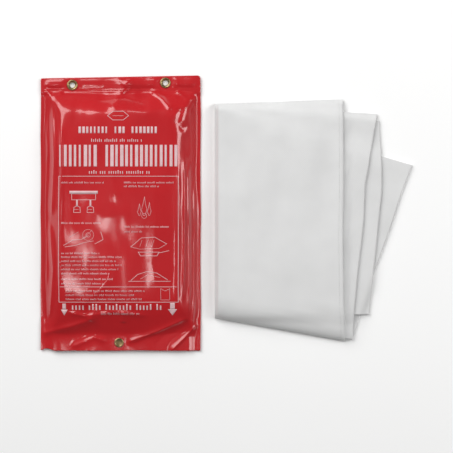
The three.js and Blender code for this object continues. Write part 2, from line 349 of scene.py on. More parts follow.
@dataclass(frozen=True)
class GlassCloth(Finish):
    """Matte woven glass cloth. Its pattern follows the cloth's own UV map."""

    name: str = "glass_cloth"
    span: float = 1.8
    thread: float = 0.0013
    shade: Colour = (0.64, 0.64, 0.637)
    light: Colour = (0.75, 0.75, 0.747)
    cloud: Grain = (22.0, 3.0, 0.55)
    slub: Grain = (500.0, 3.0, 0.6)

    def sockets(self, recipe: Recipe) -> Sockets:
        """The cloth with its weave, slubs and a faint sheen.

        Args:
            recipe: The material's nodes so far.

        Returns:
            What the shader's sockets get.
        """
        uv = recipe.node("ShaderNodeUVMap")
        turns = 2 * math.pi * self.span / self.thread / 2
        warp, weft = (recipe.wave(uv, axis, turns) for axis in "XY")
        weave = (warp * 0.5 + 0.5) * (weft * 0.5 + 0.5) + (0.5 - warp * 0.5) * (0.5 - weft * 0.5)
        cloud = (recipe.noise(*self.cloud) - 0.5) * 2.2 + 0.5
        slub = recipe.noise(*self.slub)
        tone = cloud * 0.55 + weave * 0.3 + slub * 0.15
        return {
            "Base Color": recipe.blend(tone, self.shade, self.light),
            "Roughness": 0.78 + slub * 0.15,
            "Specular IOR Level": 0.3,
            "Sheen Weight": 0.15,
            "Normal": recipe.bump(weave * 0.7 + slub * 0.5, 0.3, 0.0003),
        }


@dataclass(frozen=True)
class Webbing(Finish):
    """Black woven tape."""

    name: str = "webbing"
    rib: float = 0.0011
    pick: float = 1.6
    dark: Colour = (0.012, 0.012, 0.014)
    worn: Colour = (0.05, 0.05, 0.055)
    lint: Grain = (900.0, 4.0, 0.7)

    def sockets(self, recipe: Recipe) -> Sockets:
        """The tape with ribs along its length and a little lint.

        Args:
            recipe: The material's nodes so far.

        Returns:
            What the shader's sockets get.
        """
        turn = 2 * math.pi / self.rib
        ribs = recipe.wave(recipe.place, "X", turn) * 0.5 + 0.5
        picks = recipe.wave(recipe.place, "Y", turn / self.pick) * 0.5 + 0.5
        lint = recipe.noise(*self.lint)
        return {
            "Base Color": recipe.blend(lint * ribs, self.dark, self.worn),
            "Roughness": 0.75 + lint * 0.2,
            "Sheen Weight": 0.3,
            "Normal": recipe.bump(ribs * 0.7 + picks * 0.3, 0.6, 0.0003),
        }


@dataclass(frozen=True)
class Thread(Finish):
    """Sewing thread."""

    colour: Colour
    fuzz: Grain = (3000.0, 2.0)

    def sockets(self, recipe: Recipe) -> Sockets:
        """The thread with its twist.

        Args:
            recipe: The material's nodes so far.

        Returns:
            What the shader's sockets get.
        """
        fuzz = recipe.noise(*self.fuzz)
        darker = tuple(part * 0.75 for part in self.colour)
        return {
            "Base Color": recipe.blend(fuzz, darker, self.colour),
            "Roughness": 0.7 + fuzz * 0.2,
            "Sheen Weight": 0.2,
        }


@dataclass(frozen=True)
class FloorPaper(Finish):
    """Plain pale studio paper."""

    name: str = "floor_paper"
    shade: Colour = (0.95, 0.95, 0.945)
    light: Colour = (0.97, 0.97, 0.965)
    mottle: Grain = (3.0, 2.0)

    def sockets(self, recipe: Recipe) -> Sockets:
        """The paper, nearly even."""
        colour = recipe.blend(recipe.noise(*self.mottle), self.shade, self.light)
        return {"Base Color": colour, "Roughness": 0.9, "Specular IOR Level": 0.1}


# ---- Meshes ------------------------------------------------------------------------------


def placed(name: str, data: bpy.types.ID) -> Piece:
    """Puts data into the scene.

    Args:
        name: The new object's name.
        data: Its mesh, light or camera.

    Returns:
        The new object.
    """
    made = bpy.data.objects.new(name, data)
    bpy.context.scene.collection.objects.link(made)
    return made


def mesh_piece(
    name: str, finish: Material, points: Array, faces: list[list[int]], sharp: float = 180.0
) -> Piece:
    """Makes a smooth-shaded object at the origin.

    Args:
        name: The piece's name.
        finish: Its material.
        points: Its points in millimetres.
        faces: Its faces, as lists of point numbers.
        sharp: The angle in degrees past which an edge is shaded flat.

    Returns:
        The new object.
    """
    mesh = bpy.data.meshes.new(name)
    mesh.from_pydata((np.asarray(points, float) * MM).tolist(), [], faces)
    mesh.materials.append(finish)
    mesh.polygons.foreach_set("use_smooth", [True] * len(mesh.polygons))
    mesh.update()
    if sharp < 180:
        mesh.set_sharp_from_angle(angle=math.radians(sharp))
    return placed(name, mesh)


def settle(piece: Piece, body: str = "", nodes: Sequence[str] = ()) -> Piece:
    """Hides the CAD nodes that a finished piece replaces and parents it to its body.

    Args:
        piece: The piece.
        body: The body that it rides on, or nothing where it stays unparented.
        nodes: The CAD nodes that it replaces.

    Returns:
        The same piece.
    """
    if nodes:
        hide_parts(*nodes)
    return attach(piece, body) if body else piece


def box_of(node: str) -> tuple[Vector, Vector]:
    """The lowest and the highest corner of a CAD node's box, in millimetres."""
    return tuple(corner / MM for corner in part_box(node))


def middle_of(node: str) -> Pair:
    """The middle of a CAD node in plan, in millimetres."""
    low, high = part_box(node)
    return (low.x + high.x) / 2 / MM, (low.y + high.y) / 2 / MM


def shell(grid: Grid, low: Array, high: Array, keep: Array | None = None) -> Solid:
    """A closed sheet between two heights over a grid of points.

    Args:
        grid: X and Y of the grid's points, with rows along Y.
        low: Height of the underside.
        high: Height of the upper side.
        keep: Which grid cells are there, or None for all of them.

    Returns:
        The points and the faces.
    """
    rows, columns = grid[0].shape
    count = rows * columns
    index = np.arange(count).reshape(rows, columns)
    cells = np.stack([index[:-1, :-1], index[:-1, 1:], index[1:, 1:], index[1:, :-1]], -1)
    cells = cells.reshape(-1, 4) if keep is None else cells[keep]
    edges = np.stack([cells, np.roll(cells, -1, 1)], -1).reshape(-1, 2)
    forward = edges[:, 0] * count + edges[:, 1]
    backward = edges[:, 1] * count + edges[:, 0]
    rim = edges[~np.isin(forward, backward)]
    walls = np.stack([rim[:, 1], rim[:, 0], rim[:, 0] + count, rim[:, 1] + count], -1)
    faces = np.concatenate([cells, cells[:, ::-1] + count, walls])
    points = np.concatenate([np.stack([*grid, z], -1).reshape(-1, 3) for z in (high, low)])
    used, faces = np.unique(faces, return_inverse=True)
    return points[used], faces.reshape(-1, 4).tolist()


def turned(section: Route, middle: Pair, steps: int = 72) -> Solid:
    """A turned piece standing at a point.

    Args:
        section: (radius, height) pairs round a closed section, or from axis to axis.
        middle: X and Y of its axis.
        steps: Its sides.

    Returns:
        The points and the faces.
    """
    turns = [2 * math.pi * step / steps for step in range(steps)]
    points: list[tuple[float, float, float]] = []
    rings: list[list[int]] = []
    for radius, height in section:
        if radius == 0:
            rings.append([len(points)] * steps)
            points.append((*middle, height))
            continue
        rings.append(list(range(len(points), len(points) + steps)))
        for turn in turns:
            x, y = middle[0] + radius * math.cos(turn), middle[1] + radius * math.sin(turn)
            points.append((x, y, height))
    if section[0][0] != 0:
        rings.append(rings[0])
    faces = []
    for one, two in zip(rings, rings[1:]):
        for step in range(steps):
            after = (step + 1) % steps
            faces.append(list(dict.fromkeys([one[step], one[after], two[after], two[step]])))
    return points, faces


def ramp(value: Array, start: float, end: float) -> Array:
    """A smooth step from 0 at start to 1 at end."""
    share = np.clip((value - start) / (end - start), 0.0, 1.0)
    return share * share * (3 - 2 * share)


def soft_lowest(heights: Sequence[Array], softness: float) -> Array:
    """The lowest of several heights, rounded where they cross.

    Args:
        heights: The heights.
        softness: The rounding in millimetres.

    Returns:
        The rounded lowest height.
    """
    lowest = np.minimum.reduce(heights)
    total = sum(np.exp(-(height - lowest) / softness) for height in heights)
    return lowest - softness * np.log(total)


def stepped(*stretches: Pair) -> Array:
    """Places along a line whose step changes from stretch to stretch.

    Args:
        stretches: The first place with any step, then each stretch's end and its step.

    Returns:
        The places.
    """
    places = [np.array([stretches[0][0]])]
    for (start, _), (end, step) in zip(stretches, stretches[1:]):
        places.append(np.linspace(start, end, max(1, round((end - start) / step)) + 1)[1:])
    return np.concatenate(places)


@dataclass(frozen=True)
class Swell:
    """Seeded soft unevenness, from -1 to 1, with lumps of a size across and along."""

    seed: int
    across: float
    along: float
    size: int = 64

    def __call__(self, x: Array, y: Array) -> Array:
        """Reads the swell.

        Args:
            x: X of the points.
            y: Y of the points.

        Returns:
            Its value at each point.
        """
        lattice = np.random.default_rng(self.seed).uniform(-1, 1, (self.size, self.size))
        u = np.asarray(x, float) / self.across + self.size / 2
        v = np.asarray(y, float) / self.along + self.size / 2
        column, row = np.floor(u).astype(int), np.floor(v).astype(int)
        s, t = (f * f * f * (f * (f * 6 - 15) + 10) for f in (u - column, v - row))
        near, far = (
            lattice[(row + j) % self.size, column % self.size] * (1 - s)
            + lattice[(row + j) % self.size, (column + 1) % self.size] * s
            for j in (0, 1)
        )
        return near * (1 - t) + far * t


def route_distance(x: Array, y: Array, route: Route) -> tuple[Array, ...]:
    """How points lie to a line of straight stretches.

    Args:
        x: X of the points.
        y: Y of the points.
        route: The line's own points.

    Returns:
        The distance, the share of the line's length, and the side (-1 or 1).
    """
    corners = np.asarray(route, float)
    steps = np.diff(corners, axis=0)
    lengths = np.linalg.norm(steps, axis=1)
    run = np.concatenate([[0.0], np.cumsum(lengths)])
    best = np.full(np.shape(x), np.inf)
    share, side = np.zeros(np.shape(x)), np.ones(np.shape(x))
    for start, step, length, before in zip(corners, steps, lengths, run):
        dx, dy = x - start[0], y - start[1]
        along = np.clip((dx * step[0] + dy * step[1]) / length**2, 0, 1)
        gap = np.hypot(dx - along * step[0], dy - along * step[1])
        nearer = gap < best
        best = np.where(nearer, gap, best)
        share = np.where(nearer, (before + along * length) / run[-1], share)
        side = np.where(nearer, np.sign(step[0] * dy - step[1] * dx), side)
    return best, share, side


# ---- Pouch film --------------------------------------------------------------------------


@dataclass(frozen=True)
class Fold:
    """A ridge in the film, or a valley where its height is negative.

    Its route runs in millimetres from the pouch's lower left corner.
    """

    route: Route
    height: float
    width: float
    lean: float = 1.0
    crest: float = 0.35
    fade: float = 0.18

    def raise_at(self, across: Array, up: Array) -> Array:
        """The fold's height at points.

        Args:
            across: Distance from the pouch's left edge.
            up: Distance from its lower edge.

        Returns:
            The height that the fold adds.
        """
        gap, share, side = route_distance(across, up, self.route)
        width = self.width * np.where(side > 0, self.lean, 1.0)
        crest = self.crest * self.width
        profile = np.exp(-(np.sqrt(gap**2 + crest**2) - crest) / width)
        fade = ramp(share, 0.0, self.fade) * ramp(share, 1.0, 1 - self.fade)
        return self.height * fade * profile


FOLDS = (
    # Down both sides.
    Fold(((185.5, 262), (187.5, 203), (186.6, 122), (184, 56)), 2.4, 2.6),
    Fold(((194.2, 268), (195.4, 203), (194.4, 122), (191.7, 61)), 3.2, 2.4),
    Fold(
        ((211.8, 258.7), (201.8, 253), (199.8, 240.8), (200.8, 162.5), (201.8, 88), (199.1, 43.7)),
        3.4, 2.0,
    ),
    Fold(((207.2, 240), (208.2, 149), (207.6, 68), (203.8, 20.8)), 2.6, 1.8),
    Fold(((212.5, 215), (213.0, 120), (212, 27)), 1.0, 1.5),
    Fold(((29.5, 322), (30.4, 240), (27.0, 160), (28.4, 66)), 2.8, 3.0),
    Fold(((7.4, 330), (10.1, 270.5), (7.2, 203), (8.8, 122), (7.4, 68)), 1.6, 1.8),
    Fold(((16.9, 332), (19.6, 257), (15.5, 172.8)), 2.6, 2.4),
    Fold(((13.0, 180), (18.5, 110), (13.0, 40)), 2.6, 2.6),
    # Over the face.
    Fold(((97, 120), (93, 96), (72, 74), (50, 57)), 1.5, 8.0, 0.6),
    Fold(((150, 235), (158, 180), (152, 120), (160, 72)), 0.9, 9.0),
    Fold(((118, 290), (106, 262), (96, 232), (104, 196)), 0.9, 8.0),
    Fold(((44, 300), (40, 220), (46, 140)), 0.8, 9.0),
    Fold(((60, 196), (88, 180), (126, 186)), 0.6, 9.0),
    # At the mouth.
    Fold(((112, 8.7), (161.3, 27.5), (202, 45.7)), 2.6, 2.0, 2.4),
    Fold(((174, -3), (193.7, 16.7), (213.9, 38.3)), 2.2, 2.0, 1.6),
    Fold(((-6, 20.5), (46.6, 34.3), (86.3, 48.4)), 2.6, 6.0, 0.6),
    Fold(((40.6, 4.3), (73.6, 18), (91.7, 11.7)), 1.6, 3.2),
    Fold(((66.5, 39.7), (76.9, 58.5)), 1.6, 2.4),
    Fold(((112.7, 37), (112.7, 54.5)), 1.6, 2.0),
    Fold(((203.8, 44), (150.6, -2.5)), -1.8, 7.0),
    Fold(((30, 54), (62, 47), (100, 53), (150, 47)), 1.6, 3.0),
    # At the header.
    Fold(((148.2, 350.8), (164, 339.4), (178.5, 321.8)), 2.4, 2.0, 1.8),
    Fold(((97, 320), (106, 345), (124, 371)), 2.2, 6.0),
    Fold(((103.3, 372), (118.1, 354.2), (106, 342.1)), 0.9, 2.2),
    Fold(((72.3, 336), (114.1, 341), (149.1, 331)), -1.5, 4.0),
    Fold(((143.8, 374), (158.6, 365), (161.3, 345)), 0.8, 2.6),
    Fold(((84, 350), (112, 352), (136, 345)), 1.1, 7.0),
    Fold(((60, 318), (110, 326), (160, 316)), 1.2, 8.0),
    Fold(((192.4, 329), (185.6, 308), (195.7, 293.5)), -2.4, 4.0),
    Fold(((4.7, 354.8), (15.5, 342), (32.3, 348.8)), 1.2, 2.0),
    Fold(((182, 352), (196, 340), (214, 338)), 1.1, 3.0),
)


@dataclass
class FilmShape:
    """Where the pouch's films lie, worked out from the frame's boxes.

    A pair that ends in `_ramp` says where something starts and where it is whole.
    """

    film: float = 0.5
    weld_width: float = 6.0
    header_run: float = 30.0
    mouth_run: float = 42.0
    slope_run: float = 20.0
    mouth_lift: float = 12.0
    lip_rise: float = 12.0
    tuck: float = 1.5
    dome: Pair = (82.0, 148.0)
    dome_fall: float = 1.1
    dome_rise: float = 0.4
    rounding: float = 2.4
    foot_rounding: float = 0.6
    least_gap: Pair = (-0.3, -0.05)
    wander: float = 3.0
    wander_ramp: Pair = (110, 88)
    edge_ramp: Pair = (0.5, 6.0)
    top_ramp: Pair = (0.0, 6.0)
    free_ramp: Pair = (0.4, 4.0)
    crown_ramp: Pair = (0.3, 3.0)
    least_slack: float = 0.25
    buckle: float = 1.1
    buckle_ramp: Pair = (4.0, 12.0)
    buckle_edge_ramp: Pair = (2.0, 14.0)
    fitting_ramp: Pair = (7.0, 17.0)
    weld_lines: tuple[float, ...] = (1.3, 4.0)
    weld_depth: float = 0.4
    weld_spread: float = 0.8
    slant: float = 4.0
    scallops: tuple[tuple[float, ...], ...] = ((2.6, 9, 7), (-1.4, 27, 9))
    scallop_run: float = 30.0
    corners: Pair = (2.5, 5.0)
    near_step: float = 1.6
    seam_step: float = 0.6
    near_eyelet: float = 8.0
    hinge_band: Pair = (7.0, -9.0)
    plateau_swells: tuple[tuple[Swell, float], ...] = (
        (Swell(3, 62, 85), 0.75), (Swell(11, 27, 34), 0.42), (Swell(23, 11, 19), 0.12),
    )
    loose_swells: tuple[tuple[Swell, float], ...] = (
        (Swell(31, 24, 80), 0.8), (Swell(37, 10, 60), 0.3),
    )
    sway: tuple[Swell, Swell] = (Swell(41, 33, 47), Swell(43, 41, 29))
    header_swell: Swell = Swell(47, 26, 40)

    def __post_init__(self) -> None:
        """Reads the pouch's box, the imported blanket's box and the film's heights."""
        low, high = box_of("back_panel")
        self.left, self.bottom = low.x, low.y
        self.right, self.top_edge = high.x, high.y
        self.back_lift = high.z - self.film
        pack_low, pack_high = box_of("packed_blanket")
        self.pack_bottom, self.pack_top = pack_low.y, pack_high.y
        self.pack_left, self.pack_right = pack_low.x, pack_high.x
        self.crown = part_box("front_panel")[1].z / MM
        stiff_low, stiff_high = box_of("header_stiffener")
        self.seam = stiff_high.z - stiff_low.z
        self.header = stiff_low.y
        self.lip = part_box("stud_cap")[0].z / MM + STUD_SINK + self.film
        self.weld_left = self.left + self.weld_width
        self.weld_right = self.right - self.weld_width
        self.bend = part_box("mouth_flap")[1].y / MM
        self.slope_foot = self.bend - self.slope_run
        self.fittings = [middle_of(node) for node in ("eyelet_left", "eyelet_right", "stud_cap")]

    def lift(self, y: Array) -> Array:
        """Height of the back film's underside: it is lifted under the header and the mouth."""
        mouth = ramp(y, self.pack_bottom, self.pack_bottom - self.mouth_lift)
        return self.back_lift * np.maximum(ramp(y, self.pack_top, self.header), mouth)

    def margin(self, y: Array) -> Array:
        """Height of the front film's upper side along the welds."""
        return self.lift(y) + self.film + self.seam + self.film

    def top(self, x: Array, y: Array) -> Array:
        """Height of the front film's upper side.

        Args:
            x: X of the points.
            y: Y of the points.

        Returns:
            The height at each point.
        """
        margin = self.margin(y)
        middle_x = (self.pack_left + self.pack_right) / 2
        middle_y = (self.pack_bottom + self.pack_top) / 2
        away = ((x - middle_x) / self.dome[0]) ** 2 + ((y - middle_y) / self.dome[1]) ** 2
        crown = self.crown + self.dome_rise - self.dome_fall * away
        for swell, depth in self.plateau_swells:
            crown = crown + depth * swell(x, y)
        rise = self.crown - margin
        sideways = ramp(np.abs(x - middle_x), *self.wander_ramp)
        across = x + self.wander * self.sway[0](x, y) * sideways
        along = y + self.wander * self.sway[1](x, y)
        left_run = self.pack_left + self.tuck - self.weld_left
        right_run = self.weld_right - self.pack_right + self.tuck
        slopes = [
            crown,
            margin + rise * (across - self.weld_left) / left_run,
            margin + rise * (self.weld_right - across) / right_run,
            margin + rise * (self.header - along) / self.header_run,
            self.lip + (self.crown - self.lip) * (along - self.slope_foot) / self.mouth_run,
        ]
        height = soft_lowest(slopes, self.rounding)
        side = np.minimum(ramp(x, self.weld_left, self.weld_left + self.lip_rise),
                          ramp(x, self.weld_right, self.weld_right - self.lip_rise))
        floor = margin + (self.lip - margin) * side * ramp(y, self.bend, self.slope_foot)
        height = -soft_lowest([-height, -floor], self.foot_rounding)
        least = np.where(y < self.bend, floor + self.least_gap[0], margin + self.least_gap[1])
        return np.maximum(height + self.relief(x, y, height - margin), least)

    def relief(self, x: Array, y: Array, free: Array) -> Array:
        """Folds, slack and weld lines that the film carries.

        Args:
            x: X of the points.
            y: Y of the points.
            free: How far the film stands off the seam below.

        Returns:
            The height to add.
        """
        across, up = x - self.left, y - self.bottom
        inside = np.minimum(across, self.right - x)
        hold = ramp(inside, *self.edge_ramp) * ramp(self.top_edge - y, *self.top_ramp)
        extra = np.zeros_like(x)
        for fold in FOLDS:
            extra = extra + fold.raise_at(across, up) * hold
        under_crown = np.abs(free - (self.crown - self.margin(y)))
        slack = ramp(free, *self.free_ramp) * ramp(under_crown, *self.crown_ramp)
        for swell, depth in self.loose_swells:
            extra = extra + swell(x, y) * depth * np.maximum(slack, self.least_slack) * hold
        start, end = (self.header + place for place in self.buckle_ramp)
        loose = ramp(y, start, end) * ramp(inside, *self.buckle_edge_ramp) * hold
        extra = extra + loose * self.buckle * (1 + self.header_swell(x, y))
        for cx, cy in self.fittings:
            extra = extra * ramp(np.hypot(x - cx, y - cy), *self.fitting_ramp)
        for line in self.weld_lines:
            groove = np.exp(-(((y - self.header - line) / self.weld_spread) ** 2))
            extra = extra - self.weld_depth * groove
        return extra

    def outline(self, x: Array, y: Array) -> Grid:
        """Moves the grid's edge points onto the pouch's real outline.

        Args:
            x: X of the points.
            y: Y of the points.

        Returns:
            The moved X and Y.
        """
        across = x - self.left
        share = across / (self.right - self.left)
        lowered = y - self.slant * (1 - share) * ramp(y, self.header, self.top_edge)
        waves = (
            height * np.exp(-(((across - place) / width) ** 2))
            for height, place, width in self.scallops
        )
        ripple = sum(waves) + 0.5 * np.sin(across / 17.0)
        low_part = ramp(y, self.bottom + self.scallop_run, self.bottom)
        lowered = lowered + np.maximum(ripple, 0.0) * low_part
        sway = 0.7 * np.sin(y / 41.0) * ramp(x, self.right - 14, self.right)
        bulge = 0.6 * np.abs(np.sin(y / 33.0)) * ramp(x, self.left + 12, self.left)
        moved = x - np.abs(sway) + bulge
        left_radius, right_radius = self.corners
        for edge, sign, radius, drop in (
            (self.right, 1, right_radius, 0.0), (self.left, -1, left_radius, self.slant),
        ):
            cx, cy = edge - sign * radius, self.top_edge - drop - radius
            dx, dy = (moved - cx) * sign, lowered - cy
            reach = np.minimum(np.maximum(dx, dy), radius) / np.maximum(np.hypot(dx, dy), 1e-9)
            there = (dx > 0) & (dy > 0)
            scale = np.where(there, reach, 1.0)
            moved = np.where(there, cx + sign * dx * scale, moved)
            lowered = np.where(there, cy + dy * scale, lowered)
        return moved, lowered

    def grid(self, edge: float, middle: float) -> Grid:
        """The film's grid of points, closer together where the film folds.

        Args:
            edge: The step in the margins.
            middle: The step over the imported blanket.

        Returns:
            X and Y of each point.
        """
        near, reach = min(middle, self.near_step), self.near_eyelet
        one, two = (place[0] for place in self.fittings[:2])
        columns = stepped(
            (self.left, edge), (one - reach, edge), (one + reach, near),
            (two - reach, middle), (two + reach, near), (self.right, edge),
        )
        lines = stepped(
            (self.bottom, edge), (self.bottom + 62, edge * 1.3),
            (self.header - 28, middle * 1.3), (self.header - 1, edge * 1.5),
            (self.header + self.weld_width, min(edge, self.seam_step)),
            (self.top_edge, min(edge * 1.3, near)),
        )
        return tuple(np.meshgrid(columns, lines))

    def hinge(self, piece: Piece) -> Piece:
        """Bakes a finished piece's placement into its mesh; it works out the band between the pouch
        and its mouth flap but does not bend the piece there.
        """
        start, end = ((0, (self.bend + shift) * MM, 0) for shift in self.hinge_band)
        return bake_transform(piece)


@dataclass
class Pouch:
    """The pouch's films: front, back and the seams between them.

    `fine` and `coarse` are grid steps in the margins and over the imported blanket.
    """

    shape: FilmShape
    film: Material
    fine: Pair = (0.75, 1.7)
    coarse: Pair = (3.0, 6.0)
    hole: float = 5.0

    def open_cells(self, moved: Grid) -> Array:
        """Which grid cells are film, leaving the eyelet holes open.

        Args:
            moved: X and Y of the grid's points.

        Returns:
            True where there is film.
        """
        middle_x, middle_y = cell_middles(moved)
        keep = np.ones(middle_x.shape, bool)
        for cx, cy in self.shape.fittings[:2]:
            keep &= np.hypot(middle_x - cx, middle_y - cy) > self.hole
        return keep

    def front(self) -> Piece:
        """The front film, from the header over the blanket to the lip.

        Returns:
            The piece.
        """
        grid = self.shape.grid(*self.fine)
        high = self.shape.top(*grid)
        moved = self.shape.outline(*grid)
        solid = shell(moved, high - self.shape.film, high, self.open_cells(moved))
        piece = mesh_piece("front_film", self.film, *solid)
        return self.shape.hinge(settle(piece, nodes=("front_panel", "mouth_flap")))

    def back_parts(self) -> list[Piece]:
        """The back film, the fused bands down both sides and the stiffener in the header.

        Returns:
            The pieces.
        """
        shape = self.shape
        grid = shape.grid(*self.coarse)
        moved = shape.outline(*grid)
        film = self.open_cells(moved)
        x, y = cell_middles(grid)
        side = film & (y < shape.header) & (y > shape.bend)
        under = shape.lift(grid[1])
        over = under + shape.film
        layers = (
            ("back_film", "back_panel", under, shape.film, film),
            *(
                (f"{node}_film", node, over, shape.seam, cells)
                for node, cells in (
                    ("side_weld_left", side & (x < shape.weld_left)),
                    ("side_weld_right", side & (x > shape.weld_right)),
                    ("header_stiffener", film & (y > shape.header)),
                )
            ),
        )
        made = []
        for name, node, low, height, cells in layers:
            piece = mesh_piece(name, self.film, *shell(moved, low, low + height, cells))
            made.append(settle(piece, "pouch", [node]))
        return made


def cell_middles(grid: Grid) -> Grid:
    """X and Y of the middle of each grid cell."""
    return tuple((values[:-1, :-1] + values[1:, 1:]) / 2 for values in grid)


# ---- Metal fittings ----------------------------------------------------------------------


@dataclass
class Fittings:
    """Eyelets and the press stud, turned finely over their CAD nodes."""

    brass: Material
    hole: float = 3.65
    barrel: float = 0.5
    flange: float = 7.3
    crest: float = 6.1
    height: float = 1.5
    funnel: float = 0.9
    roll_steps: int = 14
    stud_radius: float = 6.3
    dish_radius: float = 4.2
    dish_depth: Pair = (0.75, 0.45)
    post_radius: float = 1.5
    crease: float = 50.0
    cad_shaped: tuple[str, ...] = (
        "eyelet_washer_left", "eyelet_washer_right", "stud_rivet", "stud_ball", "stud_socket",
    )

    def turns(self) -> list[float]:
        """The angles round half a roll."""
        return [math.pi * step / self.roll_steps for step in range(self.roll_steps + 1)]

    def eyelet(self, side: Side) -> Piece:
        """One eyelet: rolled flange, barrel and rear curl.

        Args:
            side: The left or the right one.

        Returns:
            The piece.
        """
        node = f"eyelet_{side.value}"
        low, high = (corner.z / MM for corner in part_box(node))
        seat = high - self.height
        barrel = self.hole + self.barrel
        roll = []
        for turn in self.turns():
            inner = turn > math.pi / 2
            reach = self.crest - self.hole if inner else self.flange - self.crest
            sink, power = (self.funnel, 1.6) if inner else (0.0, 0.8)
            rise = (self.height + sink) * max(math.sin(turn), 0.0) ** power - sink
            roll.append((self.crest + reach * math.cos(turn), seat + rise))
        section = [
            (self.hole, low + 0.2), (self.hole + 0.25, low), (barrel + 0.9, low),
            (barrel + 1.1, low + 0.2), (barrel, low + 0.42), (barrel, seat),
            (self.flange - 0.4, seat - 0.02), *roll,
        ]
        return self.place(node, section, "pouch")

    def stud_cap(self) -> Piece:
        """The press stud's cap: a rolled rim round a dish.

        Returns:
            The piece.
        """
        low, high = (corner.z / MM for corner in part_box("stud_cap"))
        rim, dish = self.dish_depth
        seat = low + STUD_SINK + 0.5
        middle = (self.stud_radius + self.dish_radius) / 2
        reach = (self.stud_radius - self.dish_radius) / 2
        section = [
            (0, low), (self.post_radius, low), (self.post_radius, seat),
            (self.stud_radius - 0.3, seat),
            *((middle + reach * math.cos(t), high - rim + rim * math.sin(t)) for t in self.turns()),
            *((self.dish_radius * s, high - rim - dish * (1 - s**2)) for s in (0.75, 0.5, 0.25)),
            (0, high - rim - dish),
        ]
        return self.place("stud_cap", section, "mouth_flap")

    def place(self, node: str, section: Route, body: str) -> Piece:
        """Turns a fitting over its CAD node.

        Args:
            node: The CAD node that it stands for.
            section: Its section.
            body: The body that it rides on.

        Returns:
            The piece.
        """
        solid = turned(section, middle_of(node))
        piece = mesh_piece(f"{node}_brass", self.brass, *solid, sharp=self.crease)
        return settle(piece, body, [node])

    def dress_hidden(self, frame: dict) -> None:
        """Gives the fittings that keep their CAD shape the brass finish.

        Args:
            frame: The loaded frame.
        """
        for node in self.cad_shaped:
            materials = frame["nodes"][node].data.materials
            materials.clear()
            materials.append(self.brass)


# ---- Print -------------------------------------------------------------------------------


class Pen(Enum):
    """Widths of the printed lines."""

    HAIR = 0.4
    THIN = 0.65
    RULE = 0.7


@dataclass(frozen=True)
class Stroke:
    """A printed line of straight stretches, open or closed."""

    pen: Pen
    route: Route
    closed: bool = False


HANDLE = (
    Stroke(Pen.THIN, ((-4.5, 0), (4.5, 0), (4, 7), (0, 9), (-4, 7)), True),
    Stroke(Pen.HAIR, ((-4, 4), (2, 4))),
)
KNOB_HAND = (
    Stroke(Pen.THIN, ((0, 2), (12, 9), (24, 10), (33, 15))),
    Stroke(Pen.THIN, ((2, 0), (16, 2), (28, 6), (40, 8))),
    Stroke(Pen.HAIR, ((24, 10), (38, 22))),
    Stroke(Pen.THIN, ((42, 4), (53, 10), (50, 20))),
    Stroke(Pen.HAIR, ((8, 13), (20, 20))),
)
COVERED_PAN = (
    Stroke(Pen.THIN, ((12, 5), (40, 5), (37, 0), (15, 0)), True),
    Stroke(Pen.THIN, ((40, 4), (53, 7))),
    Stroke(Pen.THIN, ((2, 12), (16, 24), (34, 25), (50, 16))),
    Stroke(Pen.HAIR, ((2, 12), (14, 9), (40, 10), (50, 16))),
    *(Stroke(Pen.HAIR, ((shift, 12), (shift + 3, 21))) for shift in (14, 22, 30)),
)
SHEET_AT_REST = (
    Stroke(Pen.THIN, ((0, 0), (56, 0))),
    Stroke(Pen.THIN, ((3, 1), (12, 9), (24, 13), (38, 11), (52, 2))),
    Stroke(Pen.HAIR, ((16, 3), (26, 9), (42, 5))),
)
MARK = (
    Stroke(Pen.THIN, ((0, 0), (7, 6), (21, 6), (28, 0), (21, -5.7), (7, -5.7)), True),
    Stroke(Pen.HAIR, ((7, 0), (21, 0))),
)
PANEL = (
    Stroke(Pen.RULE, ((26.5, 66), (186.5, 66), (186.5, 234.5), (26.5, 234.5)), True),
    Stroke(Pen.RULE, ((26.5, 86.5), (186.5, 86.5))),
)
POUCH_IN_HAND = (Stroke(Pen.THIN, ((3, 17), (35, 17), (35, 25), (3, 25)), True),)
FLAG = (Stroke(Pen.HAIR, ((0, 0), (12, 0), (12, 15), (6, 12), (0, 15)), True),)
TONGUE = ((-0.25, 0), (-1, 0.3), (-0.35, 0.66), (0.1, 1), (0.45, 0.6), (1, 0.34), (0.3, 0))
TEXT_LINES = (
    (30, 88, 226), (114, 181, 226), (114, 162, 221), (30, 85.5, 172), (115, 177, 167),
    (115, 140, 160.5), (30, 82, 131.5), (30, 112, 126.5), (30, 104, 121), (30, 112, 115.5),
    (30, 108, 110), (30, 96, 104.5), (30, 100, 97), (30, 88, 91), (36, 143, 81),
    (36, 128, 75.5), (36, 139, 70),
)


